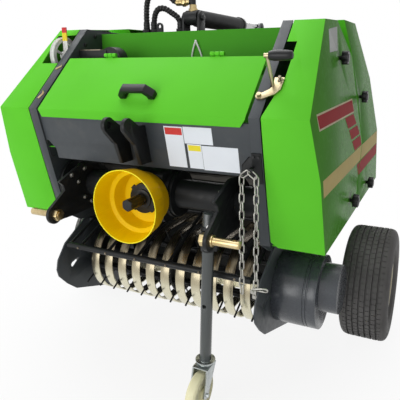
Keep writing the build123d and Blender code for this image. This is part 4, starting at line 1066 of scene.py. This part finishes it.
# name, x, way up the slope, turn in radians
CLIPS = (("clip_low", -0.364, 0.05, 1.2), ("clip_high", -0.366, 0.172, 0.6))
CLIP_STRIP = (0.02, 0.008, 0.0016)
CLIP_BENDS = ((0.003, 0, 0.0015), (0.003, 0, 0.003), (0.001, 0, 0.004))
PLUNGER = (0.243, -0.013, 0.57)
BALL = ((-0.0058, 0.002), (-0.005, 0.0035), (-0.003, 0.0052), (0, 0.006), (0.003, 0.0052), (0.005, 0.0035),
        (0.0058, 0.002))


def twine_tray():
    """Bare steel top of the twine guide's tray."""
    low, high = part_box("twine_guide")
    bottom, top = (high.z - down for down in TRAY_FROM_TOP)
    tray = rounded(block("twine_tray", (low.x + TRAY_EDGE, low.y + TRAY_EDGE, bottom),
                         (TRAY_END, high.y - TRAY_EDGE, top)), 0.001)
    dressed(sunk(tray, faces_up, 0.004, 0.0015), "roller_steel", "tray_steel")


def wire_eye():
    """White bent wire eye that leads the twine over the box's rear wall."""
    mirrored = [(-x, y, z) for x, y, z in reversed(EYE_HALF)]
    points = [at(EYE_X + x, y, z) for x, y, z in (*EYE_HALF, EYE_TOP, *mirrored)]
    dressed(meshed("wire_eye", route_curve("wire_eye", points, 0.0028)), "cream_plastic", "white_nylon")


def lid_clips():
    """Two bent spring clips on the left-hand flange and the white ball of the stand's plunger."""
    for name, x, up, turn in CLIPS:
        strip = primitive(name, "cube", size=1, scale=CLIP_STRIP, location=(0, 0, CLIP_STRIP[2] / 2))
        edit(strip, lambda place, normal: normal.x > 0.9)
        for step in CLIP_BENDS:
            bpy.ops.mesh.extrude_region_move(TRANSFORM_OT_translate={"value": step})
        leave_edit()
        rounded(strip, 0.0005)
        place = facing(on_slope(x, up), SLOPE_OUT) @ Matrix.Rotation(turn, 4, "Z")
        dressed(copies(name, strip, [place]), "yellow_zinc", "brass_zinc")
    ball = turned("ball", BALL, sides=24)
    dressed(copies("plunger_ball", ball, [facing(at(*PLUNGER), (0, -1, 0))]), "cream_plastic", "white_nylon")


# -------- stripes and blank plates
# corners on a side as (back from the front fold, height)
RED_BAND = ((0.067, 0.865), (0.517, 0.871), (0.533, 0.834), (0.079, 0.832))
RED_STEPS = (((0.387, 0.826), (0.521, 0.826), (0.56, 0.79), (0.419, 0.79)),
             ((0.43, 0.783), (0.57, 0.783), (0.6, 0.75), (0.455, 0.75)),
             ((0.461, 0.743), (0.61, 0.743), (0.618, 0.7095), (0.489, 0.7095)))
GOLD_BAND = ((0.06, 0.7065), (1.0, 0.7065), (1.006, 0.656), (0.069, 0.66))
RED_STRIPE = ((0.533, 0.653), (1.006, 0.653), (0.994, 0.61), (0.56, 0.61))
GREY_PLATE = ((0.279, 1.082), (0.39, 1.095), (0.366, 1.026), (0.267, 1.019))
BORDER = 0.005
COVER_X = 0.53  # x of the stripes' corners, near the covers' side faces
PAINT_FILM = 0.0003
SECOND_FILM = 0.0005  # the red band, which lies on its border
PLATE_FILM = 0.0006
HEAD_FILM = 0.0009
# name, from and to across, from and to in height, finish, thickness
PLATES = (("notice_tall", (0.097, 0.1545), (0.713, 0.829), "white_plate", PLATE_FILM),
          ("notice_tall_head", (0.0995, 0.152), (0.806, 0.8255), "red_sign", HEAD_FILM),
          ("notice_upper", (0.1565, 0.242), (0.7835, 0.83), "white_plate", PLATE_FILM),
          ("notice_small", (0.163, 0.2055), (0.713, 0.782), "white_plate", PLATE_FILM),
          ("notice_small_head", (0.1655, 0.203), (0.7635, 0.7795), "yellow_sign", HEAD_FILM),
          ("notice_large", (0.2065, 0.312), (0.711, 0.78), "white_plate", PLATE_FILM))


def grown(corners, edge):
    """The corners moved out from their middle, for a border round a patch."""
    middle = [sum(c) / len(corners) for c in zip(*corners)]
    return [tuple(value + (edge if value > centre else -edge) for value, centre in zip(corner, middle))
            for corner in corners]


def side_stripes(side, sign):
    """Painted bands along a side, each trimmed to the front and the tail cover."""
    for part in ("front", "tail"):
        node = f"{part}_cover_{side}"
        bands = [("gold_band", GOLD_BAND, "gold_stripe"), ("red_stripe", RED_STRIPE, "red_stripe")]
        if part == "front":
            bands += [("pale_border", grown(RED_BAND, BORDER), "pale_stripe"),
                      ("red_band", RED_BAND, "red_stripe")]
            bands += [(f"red_step_{i}", step, "red_stripe") for i, step in enumerate(RED_STEPS)]
        for name, corners, finish in bands:
            flat = [at(sign * COVER_X, y, z) for y, z in corners]
            thickness = SECOND_FILM if name == "red_band" else PAINT_FILM
            film(f"{name}_{part}_{side}", node, (sign, 0, 0), flat, finish, "cream_paint", thickness)


def blank_plates():
    for name, across, heights, finish, thickness in PLATES:
        film(name, "front_panel", (0, -1, 0), front_patch(across, heights, 0.02), finish, "cream_plastic",
             thickness)
    flat = [at(0.48, y, z) for y, z in GREY_PLATE]
    film("side_plate_blank", "front_cover_right", (1, 0, 0), flat, "grey_plate", "zinc", PLATE_FILM)


# -------- bolts
EAR_RADIUS = 0.022
BUSH_R = 0.0099
BUSH_EDGE = 0.0008
BUSH_INSET = (0.0015, 0.0065)  # its ends, in from the ears' outer faces
HITCH_BOLTS = ((0.089, 0.665), (0.058, 0.628), (0.081, 0.571), (0.111, 0.55), (0.03, 0.655))
PLATE_BOLTS = ((0.292, 1.085), (0.239, 1.056))
DRIVE_LINE = (0.135, 0.606)  # the drive tubes' middle, as y and height
FLANGE_CIRCLE = 0.06
TUBE_BOLTS = [(DRIVE_LINE[0] + FLANGE_CIRCLE * way.y, DRIVE_LINE[1] + FLANGE_CIRCLE * way.z)
              for way in round_x(4, pi / 4)]
PICKUP_BOLTS = ((0.3, 0.465), (0.42, 0.465), (0.38, 0.16))
INWARD, OUTWARD = -1, 1
# name, x of the face, places as (y, height), way the heads look, size, finish
SIDE_BOLTS = (("hitch_bolts", 0.2585, HITCH_BOLTS, INWARD, 0.0058, "chain_zinc"),
              ("plate_bolts", 0.35, PLATE_BOLTS, INWARD, 0.006, "black_paint"),
              ("tube_bolts", 0.068, TUBE_BOLTS, INWARD, 0.006, "bright_zinc"),
              ("pickup_bolts", 0.3605, PICKUP_BOLTS, OUTWARD, 0.0055, "chain_zinc"))
BAND_PITCH = 0.057
GUARD_BAR = (0.057, 0.397)  # front of the crop guard's bar, as y and height


def toplink_bushes():
    """Dark bushes that fill the bores of the top-link ears."""
    low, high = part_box("toplink_ears")
    centre = (0, low.y + EAR_RADIUS, high.z - EAR_RADIUS)
    for side, sign in SIDES:
        near, far = sorted(sign * (high.x - inset) for inset in BUSH_INSET)
        profile = ((near, BUSH_R - BUSH_EDGE), (near + BUSH_EDGE, BUSH_R), (far - BUSH_EDGE, BUSH_R),
                   (far, BUSH_R - BUSH_EDGE))
        dressed(turned("toplink_bush_" + side, profile, centre, "X", 28), "black_paint")


def fasteners():
    for side, sign in SIDES:
        for name, x, places, way, size, finish in SIDE_BOLTS:
            heads = [(at(sign * x, y, z), (sign * way, 0, 0)) for y, z in places]
            bolts(f"{name}_{side}", heads, size, finish)
    heads = [(at(place * BAND_PITCH, *GUARD_BAR), (0, -1, 0)) for place in range(-5, 6, 2)]
    bolts("guard_bolts", heads, 0.003, "tray_steel", "crop_guard")


# -------- floor
FLOOR_SIZE = 60
FLOOR_GAP = 0.0005
FLOOR_GREYS = ((0.3, (0.86, 0.86, 0.86)), (0.7, (0.9, 0.9, 0.9)))
FLOOR_WHITE = (0.87, 1)  # share of plain white in it, near the machine and far away,
FLOOR_SPAN = (0.45, 1.1)  # and the distances from the middle for near and far


def lay_floor():
    """A pale floor that turns to plain white away from the machine."""
    floor = primitive("floor", "plane", size=FLOOR_SIZE, location=(0, 0, CAD_BOX[0].z - FLOOR_GAP))
    finish = Finish("pale_floor")
    tree = finish.material.node_tree
    finish.feed("Base Color", finish.ramp(finish.noise(1.2, 3), FLOOR_GREYS))
    finish.put("Roughness", 0.8)
    distance = tree.nodes.new("ShaderNodeVectorMath")
    distance.operation = "LENGTH"
    tree.links.new(finish.place, distance.inputs[0])
    far = finish.between(distance.outputs["Value"], *FLOOR_WHITE, *FLOOR_SPAN)
    glow = tree.nodes.new("ShaderNodeEmission")
    glow.inputs["Color"].default_value = WHITE
    share = of_two(tree, "MULTIPLY", shown_directly(tree), far)
    seen = mixed(tree, share, finish.shader.outputs[0], glow.outputs[0])
    tree.links.new(seen, tree.nodes["Material Output"].inputs["Surface"])
    floor.data.materials.append(finish.material)


set_camera()
hoses()
set_light()
lay_floor()
soften_all()
for side, sign in SIDES:
    tyre(side)
    wheel_fittings(side, sign)
    side_stripes(side, sign)
chains()
shackle()
crank()
pulley()
wire_eye()
lid_clips()
twine_tray()
blank_plates()
fasteners()
toplink_bushes()
